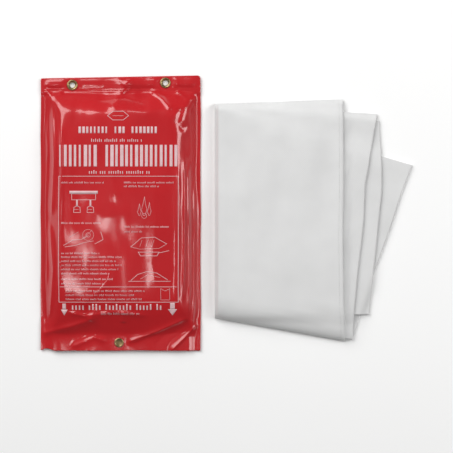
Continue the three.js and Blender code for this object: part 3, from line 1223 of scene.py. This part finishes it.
@dataclass
class Print:
    """White ink on the front film: blocks in place of lettering, a frame and pictograms.

    Its places are millimetres from the pouch's lower left corner. `extent` is its left, right,
    lower and upper limit, and `stagger` keeps the blocks that cross apart in height.
    """

    shape: FilmShape
    ink: Material
    lift: float = 0.12
    depth: float = 0.2
    cell: float = 2.5
    stagger: float = 0.012
    extent: tuple[float, ...] = (24.0, 190.0, 46.0, 324.0)

    def __post_init__(self) -> None:
        """Starts with no blocks."""
        self.shapes: list[Route] = []
        self.random = np.random.default_rng(5)

    def block(self, left: float, low: float, right: float, high: float) -> None:
        """Adds a filled rectangle."""
        self.shapes.append([(left, low), (right, low), (right, high), (left, high)])

    def draw(self, strokes: Sequence[Stroke], left: float = 0, low: float = 0) -> None:
        """Adds strokes.

        Args:
            strokes: The strokes.
            left: X of their origin.
            low: Y of their origin.
        """
        for stroke in strokes:
            route = [(left + x, low + y) for x, y in stroke.route]
            route += route[:1] if stroke.closed else []
            for (x0, y0), (x1, y1) in zip(route, route[1:]):
                length, width = math.hypot(x1 - x0, y1 - y0), stroke.pen.value
                ex, ey = (x1 - x0) / length * width / 2, (y1 - y0) / length * width / 2
                self.shapes.append([
                    (x0 - ex + ey, y0 - ey - ex), (x1 + ex + ey, y1 + ey - ex),
                    (x1 + ex - ey, y1 + ey + ex), (x0 - ex - ey, y0 - ey + ex),
                ])

    def circle(self, x: float, y: float, radius: float, sides: int = 14) -> None:
        """Adds a circle in a hairline.

        Args:
            x: X of its middle.
            y: Y of its middle.
            radius: Its radius.
            sides: Its straight stretches.
        """
        turns = [2 * math.pi * side / sides for side in range(sides)]
        route = [(x + radius * math.cos(turn), y + radius * math.sin(turn)) for turn in turns]
        self.draw([Stroke(Pen.HAIR, route, True)])

    def words(
        self, left: float, right: float, low: float, high: float, letter: float = 1.5
    ) -> None:
        """Adds a line of small upright ticks in word-sized groups.

        Args:
            left: The line's start.
            right: The line's end.
            low: Its foot.
            high: Its top.
            letter: The width of one tick and its gap.
        """
        at, left_in_word = left, int(self.random.integers(3, 9))
        while at < right - letter:
            top = high if self.random.random() < 0.3 else high - 0.25 * (high - low)
            self.block(at, low, at + letter * 0.42, top)
            at += letter
            left_in_word -= 1
            if left_in_word == 0:
                at += letter * 0.9
                left_in_word = int(self.random.integers(3, 9))

    def headline(
        self, left: float, right: float, low: float, high: float, groups: Sequence[int]
    ) -> None:
        """Adds upright bars of uneven width in groups.

        Args:
            left: The headline's start.
            right: The headline's end.
            low: Its foot.
            high: Its top.
            groups: How many bars stand in each group.
        """
        gap = 1.4
        step = (right - left) / (sum(groups) + gap * (len(groups) - 1))
        at = left
        for group in groups:
            for _ in range(group):
                self.block(at, low, at + step * self.random.uniform(0.42, 0.72), high)
                at += step
            at += gap * step

    def arrow(self, middle: float, low: float, high: float, width: float) -> None:
        """Adds a solid arrow that points down.

        Args:
            middle: X of its tip.
            low: Y of its tip.
            high: Y of its tail.
            width: Width of its head.
        """
        neck = low + 0.5 * (high - low)
        self.shapes.append([(middle, low), (middle + width / 2, neck), (middle - width / 2, neck)])
        self.block(middle - width / 4, neck, middle + width / 4, high)

    def flame(self, middle: float, low: float, size: float) -> None:
        """Adds a flame of three tongues.

        Args:
            middle: X of its middle.
            low: Y of its foot.
            size: Its height.
        """
        for shift, share, width in ((0.0, 1.0, 0.30), (-0.26, 0.62, 0.2), (0.27, 0.7, 0.2)):
            x = middle + shift * size
            reach = width * size / 2
            route = [(x + out * reach, low + up * size * share) for out, up in TONGUE]
            self.draw([Stroke(Pen.HAIR, route, True)])

    def layout(self) -> None:
        """Sets every block of the print, from the header down to the lip."""
        self.draw(MARK, 92, 315.5)
        self.headline(53, 160, 292, 301, (8, 3, 7))
        self.words(70, 141, 280.5, 284.8, 2.6)
        self.headline(27, 188, 247.5, 276.5, (8, 15))
        self.words(67, 150, 237.6, 242.6, 3.0)
        self.draw(PANEL)
        for left, right, up in TEXT_LINES:
            self.words(left, right, up - 1.3, up + 1.3)
        self.block(41, 211, 79, 215)
        self.draw(POUCH_IN_HAND, 41, 186)
        for x in (51, 69):
            self.block(x - 1.2, 194, x + 1.2, 203)
            self.draw(HANDLE, x, 186)
        self.flame(141, 182, 25)
        self.circle(141, 181.5, 3.4)
        self.circle(66, 156, 7.5)
        self.circle(66, 156, 3)
        self.draw(KNOB_HAND, 33, 140)
        self.draw(COVERED_PAN, 121, 128)
        self.draw(SHEET_AT_REST, 120, 94)
        self.draw(FLAG, 163, 69)
        self.words(44, 169, 55.5, 63.5, 4.6)
        self.words(83, 137, 49, 52)
        self.arrow(33.6, 48, 64, 9.5)
        self.arrow(178.6, 48, 65, 12.5)

    def piece(self) -> Piece:
        """The print as one thin mesh that lies on the film.

        Returns:
            The piece.
        """
        self.layout()
        mesh = bmesh.new()
        for number, outline in enumerate(self.shapes):
            corners = [(x, y, self.stagger * (number % 4)) for x, y in outline]
            mesh.faces.new([mesh.verts.new(corner) for corner in corners])
        left, right, low, high = self.extent
        for start, end, axis in ((left, right, Vector((1, 0, 0))), (low, high, Vector((0, 1, 0)))):
            for place in np.arange(start, end, self.cell):
                parts = [*mesh.verts, *mesh.edges, *mesh.faces]
                bmesh.ops.bisect_plane(
                    mesh, geom=parts, dist=1e-5, plane_co=axis * place, plane_no=axis
                )
        bmesh.ops.recalc_face_normals(mesh, faces=mesh.faces)
        mesh.verts.index_update()
        flat = np.array([vertex.co for vertex in mesh.verts])
        faces = [[vertex.index for vertex in face.verts] for face in mesh.faces]
        mesh.free()
        faces = [face if signed_area(flat[face]) > 0 else face[::-1] for face in faces]
        x, y = flat[:, 0] + self.shape.left, flat[:, 1] + self.shape.bottom
        height = self.shape.top(x, y) + self.lift + flat[:, 2]
        solid = thickened(np.stack([x, y, height], -1), faces, self.depth)
        return self.shape.hinge(settle(mesh_piece("front_print", self.ink, *solid)))


def signed_area(corners: Array) -> float:
    """Twice a flat face's area, negative where it runs clockwise."""
    x, y = corners[:, 0], corners[:, 1]
    return float(np.sum(x * np.roll(y, -1) - np.roll(x, -1) * y))


def thickened(upper: Array, faces: list[list[int]], depth: float) -> Solid:
    """Closes an open sheet with a second side below it.

    Args:
        upper: The sheet's points.
        faces: Its faces, seen from above.
        depth: How far below the second side lies.

    Returns:
        The points and the faces.
    """
    count = len(upper)
    sides = {(a, b) for face in faces for a, b in zip(face, [*face[1:], face[0]])}
    walls = [[b, a, a + count, b + count] for a, b in sides if (b, a) not in sides]
    under = [[corner + count for corner in reversed(face)] for face in faces]
    return np.concatenate([upper, upper - (0, 0, depth)]), [*faces, *under, *sorted(walls)]


# ---- Folded cloth ------------------------------------------------------------------------


@dataclass(frozen=True)
class Crease:
    """One crease of the concertina. Its points run from its lower end to its upper one."""

    points: Route
    outward: float

    def at(self, share: Array) -> Array:
        """The crease's points at shares of its length.

        Args:
            share: The shares, from 0 to 1.

        Returns:
            X and Y of each point.
        """
        corners = np.asarray(self.points, float)
        lengths = np.linalg.norm(np.diff(corners, axis=0), axis=1)
        run = np.concatenate([[0.0], np.cumsum(lengths)]) / lengths.sum()
        return np.stack([np.interp(share, run, corners[:, axis]) for axis in (0, 1)], -1)

    def across(self, y: Array) -> Array:
        """The crease's X at places along Y."""
        x_of, y_of = zip(*self.points)
        return np.interp(y, y_of, x_of)


class Profile(Enum):
    """How a stack's height grows from its side inwards."""

    ROUND = "round"
    SLOPE = "slope"


@dataclass(frozen=True)
class Rounding:
    """How a stack of cloth sinks towards one side of its box."""

    run: float
    least: float
    profile: Profile = Profile.ROUND

    def kept(self, distance: Array) -> Array:
        """The share of its height that the stack keeps.

        Args:
            distance: The distance from the side.

        Returns:
            The share at each point.
        """
        if self.profile is Profile.SLOPE:
            share = ramp(distance, 0.0, self.run)
        else:
            share = np.sqrt(1 - (1 - np.clip(distance / self.run, 0, 1)) ** 2)
        return self.least + (1 - self.least) * share


@dataclass(frozen=True)
class PlyPath:
    """The path across the plies at one place of the concertina, as a value for each step.

    Attributes:
        share: The share along the creases.
        offset: The offset from the panel's middle.
        past: How far it stands past the creases' ends.
        own: The cloth's own coordinate.
    """

    share: Array
    offset: Array
    past: Array
    own: Array


@dataclass
class FoldedCloth:
    """A cloth folded to four plies, then in a concertina of panels between creases.

    Attributes:
        creases: The creases from the lowest panel's free edge to the highest panel's.
        floor: Height of the cloth's underside.
        pitch: Thickness of one panel.
        ply: Distance from one ply to the next.
        thickness: Thickness of the cloth.
        roundings: How each side sinks.
        seed: Seed of its unevenness.
        near_ends: The steps across a panel, next to its creases.
        spread: How far past a lower panel the cloth above takes to come down.
        ply_ends: The steps along a ply, next to its ends, as shares of it.
        sole: Height of the lowest cloth, which doesn't sink with the sides.
    """

    creases: list[Crease]
    floor: float
    pitch: float
    ply: float
    thickness: float
    roundings: dict[Side, Rounding]
    seed: int
    near_ends: tuple[float, ...] = (0, 1.6, 3.6, 6, 9, 13, 18, 24, 31)
    spread: float = 9.0
    plies: int = 4
    end_steps: int = 4
    turn_steps: int = 5
    ply_steps: int = 16
    ply_ends: tuple[float, ...] = (0, 0.004, 0.01, 0.018, 0.028, 0.04, 0.055, 0.075)
    ply_middle: Pair = (0.105, 0.895)
    uneven: float = 0.05
    sole: float = 0.3

    def __post_init__(self) -> None:
        """Seeds its unevenness and measures it."""
        seed = self.seed
        self.swells = [Swell(seed + index, 55, 70) for index in range(len(self.creases))]
        self.waves = ((Swell(seed + 50, 24, 100), 0.8), (Swell(seed + 51, 46, 60), 1.4))
        everything = np.array([point for crease in self.creases for point in crease.points])
        self.low, self.high = everything.min(0), everything.max(0)
        self.panels = len(self.creases) - 1
        self.path = self.ply_path()

    def ply_path(self) -> PlyPath:
        """The path across the plies, up one and down the next.

        Returns:
            The path.
        """
        ends = np.array(self.ply_ends)
        middle = np.linspace(*self.ply_middle, self.ply_steps)
        forward = np.concatenate([ends, middle, 1 - ends[::-1]])
        turn = np.pi * np.arange(1, self.end_steps) / self.end_steps
        steps = []
        for ply in range(self.plies):
            offset = (ply - (self.plies - 1) / 2) * self.ply
            up = ply % 2 == 0
            run = forward if up else forward[::-1]
            level = np.full(len(run), offset)
            steps.append((run, level, np.zeros(len(run)), (ply + forward) / self.plies))
            if ply < self.plies - 1:
                end = np.full(len(turn), 1.0 if up else 0.0)
                climb = offset + self.ply / 2 * (1 - np.cos(turn))
                past = (1 if up else -1) * self.ply / 2 * np.sin(turn)
                steps.append((end, climb, past, np.full(len(turn), (ply + 1) / self.plies)))
        return PlyPath(*(np.concatenate(part) for part in zip(*steps)))

    def sides(self, panel: int) -> tuple[Crease, Crease]:
        """A panel's left and right creases."""
        first, second = self.creases[panel], self.creases[panel + 1]
        return (first, second) if first.outward < 0 else (second, first)

    def foot_and_head(self, panel: int, x: Array) -> Grid:
        """Y of a panel's lower and upper edges at places along X."""
        left, right = self.sides(panel)
        return tuple(np.interp(x, *zip(left.points[end], right.points[end])) for end in (0, -1))

    def base(self, panel: int, x: Array, y: Array) -> Array:
        """Height of a panel's underside above the floor, before the sides are rounded.

        Args:
            panel: The panel's number from below.
            x: X of the points.
            y: Y of the points.

        Returns:
            The height that the panels below hold it at.
        """
        height = np.zeros(np.broadcast(x, y).shape)
        for lower in range(panel):
            left, right = self.sides(lower)
            foot, head = self.foot_and_head(lower, x)
            between = np.minimum(x - left.across(y), right.across(y) - x)
            inside = np.minimum.reduce([between, y - foot, head - y])
            thick = 1 + self.uneven * self.swells[lower](x, y)
            height = height + self.pitch * ramp(inside, -self.spread, 0.0) * thick
        return height

    def laid(
        self, x: Array, y: Array, height: Array, out: Array | float = 0.0
    ) -> Array:
        """Points of all plies, with the stack's rounded sides and its unevenness.

        Args:
            x: X on the panel or crease, where the rounding is read.
            y: Y there.
            height: Height of the points before rounding.
            out: How far they stand out from there in X.

        Returns:
            The points.
        """
        foot, head = self.foot_and_head(self.panels - 1, x)
        distance = {
            Side.LEFT: x - self.low[0], Side.RIGHT: self.high[0] - x,
            Side.BOTTOM: y - foot, Side.TOP: head - y,
        }
        kept = np.ones(np.broadcast(x, y).shape)
        for side, rounding in self.roundings.items():
            kept = kept * rounding.kept(distance[side])
        grown = np.clip(height / (self.pitch * self.panels), 0, 1)
        wave = sum(depth * swell(x, y) for swell, depth in self.waves) * grown
        level = self.floor + (height + wave - self.sole) * kept + self.sole
        return np.stack([x + out, y + self.path.past, level], -1)

    def side_up(self, panel: int) -> int:
        """1 where a panel's plies lie in their first order, -1 where they are turned over."""
        return 1 if panel % 2 == 0 else -1

    def panel_row(self, panel: int, across: float) -> Array:
        """Points of all plies at one place across a panel.

        Args:
            panel: The panel's number.
            across: The share from the crease before it to the crease after it.

        Returns:
            The points.
        """
        start, end = (crease.at(self.path.share) for crease in self.creases[panel : panel + 2])
        x, y = (start * (1 - across) + end * across).T
        middle = self.base(panel, x, y) + self.pitch / 2
        return self.laid(x, y, middle + self.side_up(panel) * self.path.offset)

    def turn_row(self, panel: int, angle: float) -> Array:
        """Points of all plies in the turn over a panel's far crease.

        Args:
            panel: The number of the panel below the turn.
            angle: How far round the turn, from 0 to pi.

        Returns:
            The points.
        """
        crease = self.creases[panel + 1]
        x, y = crease.at(self.path.share).T
        radius = self.pitch / 2 - self.side_up(panel) * self.path.offset
        height = self.base(panel, x, y) + self.pitch - radius * np.cos(angle)
        return self.laid(x, y, height, crease.outward * radius * np.sin(angle))

    def steps_across(self, panel: int, step: float) -> Array:
        """Shares across a panel, closer together at its creases.

        Args:
            panel: The panel's number.
            step: The step away from the creases.

        Returns:
            The shares from 0 to 1.
        """
        left, right = (crease.at(np.array([0.5]))[0, 0] for crease in self.sides(panel))
        width = right - left
        ends = np.array([place for place in self.near_ends if place < step * 6])
        middle = np.arange(ends[-1], width - ends[-1], step)[1:]
        return np.unique(np.concatenate([ends, middle, width - ends])) / width

    def strip(
        self, panels: Sequence[int], step: float, early: bool = False, late: bool = False
    ) -> Grid:
        """A run of panels as a grid of points on the cloth's middle surface.

        Args:
            panels: The panels' numbers, in order.
            step: The step across them.
            early: Whether it starts with the later half of the turn before the first panel.
            late: Whether it ends with the earlier half of the turn after the last panel.

        Returns:
            The points and the cloth's own coordinates, both as grids.
        """
        turn = np.pi * np.arange(1, self.turn_steps * 2) / (self.turn_steps * 2)
        first_half = [*turn[: self.turn_steps - 1], np.pi / 2]
        second_half = [np.pi / 2, *turn[self.turn_steps :]]
        rows = []
        if early:
            rows += [(self.turn_row(panels[0] - 1, angle), panels[0]) for angle in second_half]
        for panel in panels:
            for across in self.steps_across(panel, step):
                rows.append((self.panel_row(panel, across), panel + across))
            last = panel == panels[-1]
            for angle in (first_half if late else []) if last else turn[::2]:
                rows.append((self.turn_row(panel, angle), panel + 1))
        points = np.array([row for row, _ in rows])
        width, length = (side / MM for side in CLOTH_FLAT)
        across = np.broadcast_to(self.path.own, points.shape[:2]) * width
        along = np.array([place for _, place in rows])[:, None] * (length / self.panels)
        along = along + np.zeros(points.shape[:2])
        return points, np.stack([along, across], -1) / length

    def piece(self, name: str, cloth: Material, points: Array, own: Array) -> Piece:
        """Makes a strip into a closed piece of cloth.

        Args:
            name: The piece's name.
            cloth: Its finish.
            points: Its grid of points.
            own: The cloth's own coordinates at those points.

        Returns:
            The piece.
        """
        rows, columns = points.shape[:2]
        index = np.arange(rows * columns).reshape(rows, columns)
        corners = (index[:-1, :-1], index[1:, :-1], index[1:, 1:], index[:-1, 1:])
        cells = np.stack(corners, -1).reshape(-1, 4)
        piece = mesh_piece(name, cloth, points.reshape(-1, 3), cells.tolist())
        layer = piece.data.uv_layers.new(name="UVMap")
        used = np.zeros(len(piece.data.loops), int)
        piece.data.loops.foreach_get("vertex_index", used)
        layer.data.foreach_set("uv", own.reshape(-1, 2)[used].ravel())
        thick = piece.modifiers.new("thickness", "SOLIDIFY")
        thick.thickness = self.thickness * MM
        thick.offset = 0.0
        return baked(piece)


def baked(piece: Piece) -> Piece:
    """Replaces a piece's mesh with what its modifiers make of it.

    Args:
        piece: The piece.

    Returns:
        The same piece, with no modifiers.
    """
    bpy.context.view_layer.update()
    graph = bpy.context.evaluated_depsgraph_get()
    made = bpy.data.meshes.new_from_object(piece.evaluated_get(graph), depsgraph=graph)
    piece.modifiers.clear()
    piece.data = made
    return piece


# ---- Stitches ----------------------------------------------------------------------------


@dataclass
class Stitches:
    """Stitches along a route, set out by a node tree."""

    thread: Material
    spacing: float = 3.2
    length: float = 2.2
    radius: float = 0.22
    sides: int = 6

    def tree(self) -> bpy.types.NodeTree:
        """Makes the node tree: a route becomes a curve, and each of its steps a short thread.

        Returns:
            The tree.
        """
        tree = bpy.data.node_groups.new("stitches", "GeometryNodeTree")
        for name, way, kind in (
            ("Geometry", "INPUT", "Geometry"), ("Spacing", "INPUT", "Float"),
            ("Length", "INPUT", "Float"), ("Radius", "INPUT", "Float"),
            ("Thread", "INPUT", "Material"), ("Geometry", "OUTPUT", "Geometry"),
        ):
            tree.interface.new_socket(name, in_out=way, socket_type=f"NodeSocket{kind}")
        nodes = {
            name: tree.nodes.new(kind)
            for name, kind in (
                ("entry", "NodeGroupInput"), ("leave", "NodeGroupOutput"),
                ("curve", "GeometryNodeMeshToCurve"), ("steps", "GeometryNodeResampleCurve"),
                ("tangent", "GeometryNodeInputTangent"), ("turn", "FunctionNodeAlignEulerToVector"),
                ("bar", "GeometryNodeMeshCylinder"), ("place", "GeometryNodeInstanceOnPoints"),
                ("real", "GeometryNodeRealizeInstances"), ("finish", "GeometryNodeSetMaterial"),
            )
        }
        nodes["steps"].mode = "LENGTH"
        nodes["turn"].axis = "Z"
        nodes["bar"].inputs["Vertices"].default_value = self.sides
        for start, leaving, end, entering in (
            ("entry", "Geometry", "curve", "Mesh"), ("curve", "Curve", "steps", "Curve"),
            ("entry", "Spacing", "steps", "Length"), ("tangent", "Tangent", "turn", "Vector"),
            ("entry", "Radius", "bar", "Radius"), ("entry", "Length", "bar", "Depth"),
            ("steps", "Curve", "place", "Points"), ("bar", "Mesh", "place", "Instance"),
            ("turn", "Rotation", "place", "Rotation"), ("place", "Instances", "real", "Geometry"),
            ("real", "Geometry", "finish", "Geometry"), ("entry", "Thread", "finish", "Material"),
            ("finish", "Geometry", "leave", "Geometry"),
        ):
            tree.links.new(nodes[start].outputs[leaving], nodes[end].inputs[entering])
        return tree

    def piece(self, name: str, route: Array) -> Piece:
        """The stitches along a route.

        Args:
            name: The piece's name.
            route: The route's points, in millimetres.

        Returns:
            The piece.
        """
        mesh = bpy.data.meshes.new(name)
        edges = [(step, step + 1) for step in range(len(route) - 1)]
        mesh.from_pydata((route * MM).tolist(), edges, [])
        piece = placed(name, mesh)
        sewing = piece.modifiers.new("sewing", "NODES")
        sewing.node_group = self.tree()
        values = {
            "Spacing": self.spacing * MM, "Length": self.length * MM,
            "Radius": self.radius * MM, "Thread": self.thread,
        }
        for socket in sewing.node_group.interface.items_tree:
            if socket.in_out == "INPUT" and socket.name in values:
                sewing[socket.identifier] = values[socket.name]
        piece = baked(piece)
        piece.data.polygons.foreach_set("use_smooth", [True] * len(piece.data.polygons))
        return piece


# ---- Blankets and tapes ------------------------------------------------------------------


@dataclass
class LooseBlanket:
    """The blanket that lies folded beside the pouch."""

    cloth: Material
    thread: Material
    ply: float = 0.5
    thickness: float = 0.36
    pitch: float = 2.1
    hem: float = 8.0
    hem_rise: float = 0.35
    hem_level: Pair = (19.0, 20.5)
    seam_inset: float = 6.0
    hinge_band: Pair = (-1.9, 5.8)

    def __post_init__(self) -> None:
        """Lays the creases out from the CAD's boxes."""
        leaf_low, leaf_high = box_of("blanket_top_leaf")
        self.left, self.right, self.bottom = leaf_low.x, leaf_high.x, leaf_low.y
        self.fan = box_of("folded_blanket")[1].x
        sides = {
            Side.BOTTOM: Rounding(32, 0.12), Side.TOP: Rounding(7, 0.55),
            Side.LEFT: Rounding(7, 0.72),
        }
        self.stack = FoldedCloth(
            self.creases(), 0.05, self.pitch, self.ply, self.thickness, sides, 100
        )

    def creases(self) -> list[Crease]:
        """Lays out the lines from the lowest free edge to the highest, in the frame's axes.

        Returns:
            The eleven creases.
        """
        left, right, tip = self.left, self.right, self.fan
        routes = (
            (right, ((-5, 5), (-8, 318))),
            (left, ((2.5, 34), (3, 315))),
            (right, ((-3, 4), (-4, 320))),
            (left, ((4, 36), (6, 312))),
            (tip, ((-83, 3.5), (-79, 9), (-72, 34), (-48, 105), (-28, 160), (-17, 196), (-1, 238))),
            (left, ((3, 35), (4, 314))),
            (
                tip,
                ((-59, 37), (-54, 89), (-50, 127), (-45, 178), (-42, 205), (-43, 255), (-45, 297)),
            ),
            (left, ((2, 33), (2.5, 317))),
            (
                tip,
                (
                    (-81, 3), (-80, 40), (-75, 93), (-67, 160),
                    (-65, 214), (-62, 228), (-53, 281), (-48, 306.5),
                ),
            ),
            (left, ((1.5, 31.5), (1.5, 320))),
            (right, ((1.5, 0.5), (-1, 49), (-2.5, 138), (-1.5, 205), (-1.5, 326.5))),
        )
        return [
            Crease([(edge + x, self.bottom + y) for x, y in route], -1.0 if number % 2 else 1.0)
            for number, (edge, route) in enumerate(routes)
        ]

    def build(self) -> list[Piece]:
        """The nine lower panels, the top leaf and its stitches.

        Returns:
            The pieces.
        """
        stack, last = self.stack, self.stack.panels - 1
        body = stack.piece("folded_cloth", self.cloth, *stack.strip(range(last), 10.0, late=True))
        settle(body, "loose_blanket", ["folded_blanket"])
        points, own = stack.strip([last], 3.0, early=True)
        self.raise_hem(points)
        leaf = stack.piece("top_leaf_cloth", self.cloth, points, own)
        settle(leaf, nodes=["blanket_top_leaf"])
        seam = Stitches(self.thread).piece("top_leaf_stitches", self.seam_route(points))
        settle(seam)
        start, end = (((self.left + shift) * MM, 0, 0) for shift in self.hinge_band)
        for part in (leaf, seam):
            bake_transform(part)
        return [body, leaf, seam]

    def raise_hem(self, points: Array) -> None:
        """Thickens the leaf's free edge, where its plies are hemmed.

        Args:
            points: The leaf's grid of points, which it moves.
        """
        inset = self.stack.creases[-1].across(points[..., 1]) - points[..., 0]
        share = ramp(inset, self.hem + 1.5, self.hem - 0.5) * ramp(points[..., 2], *self.hem_level)
        points[..., 2] += self.hem_rise * share

    def seam_route(self, points: Array) -> Array:
        """The seam's route on the leaf's upper ply.

        Args:
            points: The leaf's grid of points.

        Returns:
            The route's points.
        """
        path, edge = self.stack.path, self.stack.creases[-1]
        offset = self.stack.side_up(self.stack.panels - 1) * path.offset
        upper = np.where((offset > self.ply * 1.4) & (path.past == 0))[0]
        inset = edge.across(points[:, upper, 1]) - points[:, upper, 0]
        route = points[np.abs(inset - self.seam_inset).argmin(0), upper]
        route = route[np.argsort(route[:, 1])][2:-2]
        route[:, 0] = edge.across(route[:, 1]) - self.seam_inset
        route[:, 2] += self.thickness / 2 + 0.02
        return route


@dataclass
class PackedBlanket:
    """The blanket inside the pouch, with its two pull tapes.

    `seam_box` holds the seam's inset from a tape's sides, from its end, and its far side.
    """

    cloth: Material
    tape: Material
    thread: Material
    panels: int = 11
    thickness: float = 0.33
    headroom: float = 2.6
    plies_in_pitch: float = 4.3
    hem: float = 10.0
    hem_rise: float = 1.1
    tape_thickness: float = 1.2
    tape_steps: int = 34
    tape_across: tuple[float, ...] = (0, 0.012, 0.035, 0.08, 0.25, 0.5, 0.75, 0.92, 0.965, 0.988, 1)
    seam_box: tuple[float, float, float] = (2.5, 1.8, 8.0)

    def creases(self) -> list[Crease]:
        """Nearly straight creases just inside the CAD's box.

        Returns:
            The creases, from the lowest to the highest.
        """
        low, high = box_of("packed_blanket")
        random = np.random.default_rng(17)
        creases = []
        for number in range(self.panels + 1):
            outward = -1.0 if number % 2 else 1.0
            side = high.x if outward > 0 else low.x
            inset, sway = random.uniform(1.8, 4.5), random.uniform(-1, 1)
            x = side - outward * inset
            foot, head = low.y + random.uniform(1, 4), high.y - random.uniform(1, 4)
            creases.append(Crease([(x, foot), (x - outward * abs(sway), 0.0), (x, head)], outward))
        return creases

    def build(self) -> list[Piece]:
        """The folded cloth and the two tapes.

        Returns:
            The pieces, with the tapes' stitches.
        """
        low, high = (corner.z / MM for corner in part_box("packed_blanket"))
        pitch = (high - low - self.headroom) / self.panels
        sides = {
            Side.LEFT: Rounding(12, 0.62), Side.RIGHT: Rounding(12, 0.62),
            Side.BOTTOM: Rounding(34, 0.36, Profile.SLOPE),
            Side.TOP: Rounding(32, 0.16, Profile.SLOPE),
        }
        stack = FoldedCloth(
            self.creases(), low + 0.1, pitch, pitch / self.plies_in_pitch, self.thickness,
            sides, 200, near_ends=(0, 2, 5, 10, 18, 31),
        )
        body = stack.piece("packed_cloth", self.cloth, *stack.strip(range(self.panels), 14.0))
        settle(body, "packed_blanket", ["packed_blanket"])
        return [body, *self.pull_tape(Side.LEFT), *self.pull_tape(Side.RIGHT)]

    def pull_tape(self, side: Side) -> list[Piece]:
        """One tape with its doubled, stitched end.

        Args:
            side: The left or the right one.

        Returns:
            The tape and its stitches.
        """
        node = f"pull_tape_{side.value}"
        low, high = box_of(node)
        across = low.x + np.array(self.tape_across) * (high.x - low.x)
        x, y = np.meshgrid(across, np.linspace(low.y, high.y, self.tape_steps))
        slim = np.sqrt(np.clip(np.minimum(x - low.x, high.x - x) / 0.8, 0, 1))
        slim = 0.35 * (1 - slim)
        rise = self.hem_rise * ramp(y, low.y + self.hem + 0.8, low.y + self.hem - 0.8)
        top = low.z + self.tape_thickness + rise
        solid = shell((x, y), low.z + slim, top - slim)
        tape = mesh_piece(f"{node}_webbing", self.tape, *solid, sharp=60.0)
        settle(tape, "packed_blanket", [node])
        inset, near, far = self.seam_box
        left, right = low.x + inset, high.x - inset
        foot, head = low.y + near, low.y + far
        level = low.z + self.tape_thickness + self.hem_rise + 0.05
        corners = ((left, foot), (right, foot), (right, head), (left, head), (left, foot))
        route = np.array([(*corner, level) for corner in corners])
        seam = Stitches(self.thread, 2.6, 1.8, 0.2).piece(f"{node}_stitches", route)
        settle(seam, "packed_blanket")
        flat = ((high.x - low.x) * MM, (high.y - low.y + self.hem) * MM)
        return [tape, seam]


# ---- Studio ------------------------------------------------------------------------------


@dataclass(frozen=True)
class Softbox:
    """One soft square light that looks at the middle of the set."""

    name: str
    place: tuple[float, float, float]
    size: float
    power: float

    def light(self) -> None:
        """Hangs the light."""
        data = bpy.data.lights.new(self.name, "AREA")
        data.shape = "SQUARE"
        data.size, data.energy = self.size, self.power
        lamp = placed(self.name, data)
        lamp.location = self.place
        lamp.rotation_euler = (-Vector(self.place)).to_track_quat("-Z", "Y").to_euler()


@dataclass(frozen=True)
class Studio:
    """The floor, the lights and a camera that looks straight down.

    Its sizes are metres, apart from the floor's height.
    """

    floor_size: float = 8.0
    floor_level: float = -0.05
    sky: float = 0.13
    camera_height: float = 2.4
    view_width: float = 0.6115
    view_shift: Pair = (0.0007, -0.0182)
    boxes: tuple[Softbox, ...] = (
        Softbox("key", (-1.4, 1.4, 1.7), 2.0, 62.5),
        Softbox("fill", (1.7, 0.5, 1.5), 1.0, 20.5),
        Softbox("glint", (1.0, -0.35, 1.9), 0.5, 5.0),
        Softbox("sheen", (-0.46, -0.26, 2.2), 0.22, 1.5),
    )

    def build(self, paper: Material) -> None:
        """Sets the studio up.

        Args:
            paper: The floor's finish.
        """
        scene = bpy.context.scene
        half = self.floor_size / 2 / MM
        signs = ((-1, -1), (1, -1), (1, 1), (-1, 1))
        corners = np.array([(half * x, half * y, self.floor_level) for x, y in signs])
        mesh_piece("studio_floor", paper, corners, [[0, 1, 2, 3]])
        world = bpy.data.worlds.new("soft_sky")
        world.use_nodes = True
        sky = world.node_tree.nodes["Background"]
        sky.inputs["Color"].default_value = (1, 1, 1, 1)
        sky.inputs["Strength"].default_value = self.sky
        scene.world = world
        for box in self.boxes:
            box.light()
        scene.view_settings.view_transform = "Standard"
        data = bpy.data.cameras.new("camera")
        data.lens = data.sensor_width * self.camera_height / self.view_width
        scene.camera = placed("camera", data)
        scene.camera.location = (*self.view_shift, self.camera_height)


# ---- Main --------------------------------------------------------------------------------


def report(pieces: Sequence[Piece]) -> None:
    """Logs each piece with its number of faces."""
    for piece in pieces:
        LOG.info("%s: %d faces", piece.name, len(piece.data.polygons))


def main() -> None:
    """Loads the frame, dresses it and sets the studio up."""
    logging.basicConfig(level=logging.INFO, format="%(name)s: %(message)s")
    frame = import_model()
    film, brass, ink = RedFilm().material(), Brass().material(), WhiteInk().material()
    cloth, webbing = GlassCloth().material(), Webbing().material()
    Studio().build(FloorPaper().material())
    shape = FilmShape()
    pouch = Pouch(shape, film)
    report([pouch.front(), *pouch.back_parts(), Print(shape, ink).piece()])
    fittings = Fittings(brass)
    report([fittings.eyelet(Side.LEFT), fittings.eyelet(Side.RIGHT), fittings.stud_cap()])
    fittings.dress_hidden(frame)
    cotton = Thread("white_thread", (0.7, 0.7, 0.69)).material()
    dark = Thread("black_thread", (0.03, 0.03, 0.033)).material()
    report(PackedBlanket(cloth, webbing, dark).build())
    report(LooseBlanket(cloth, cotton).build())


if __name__ == "__main__":
    main()
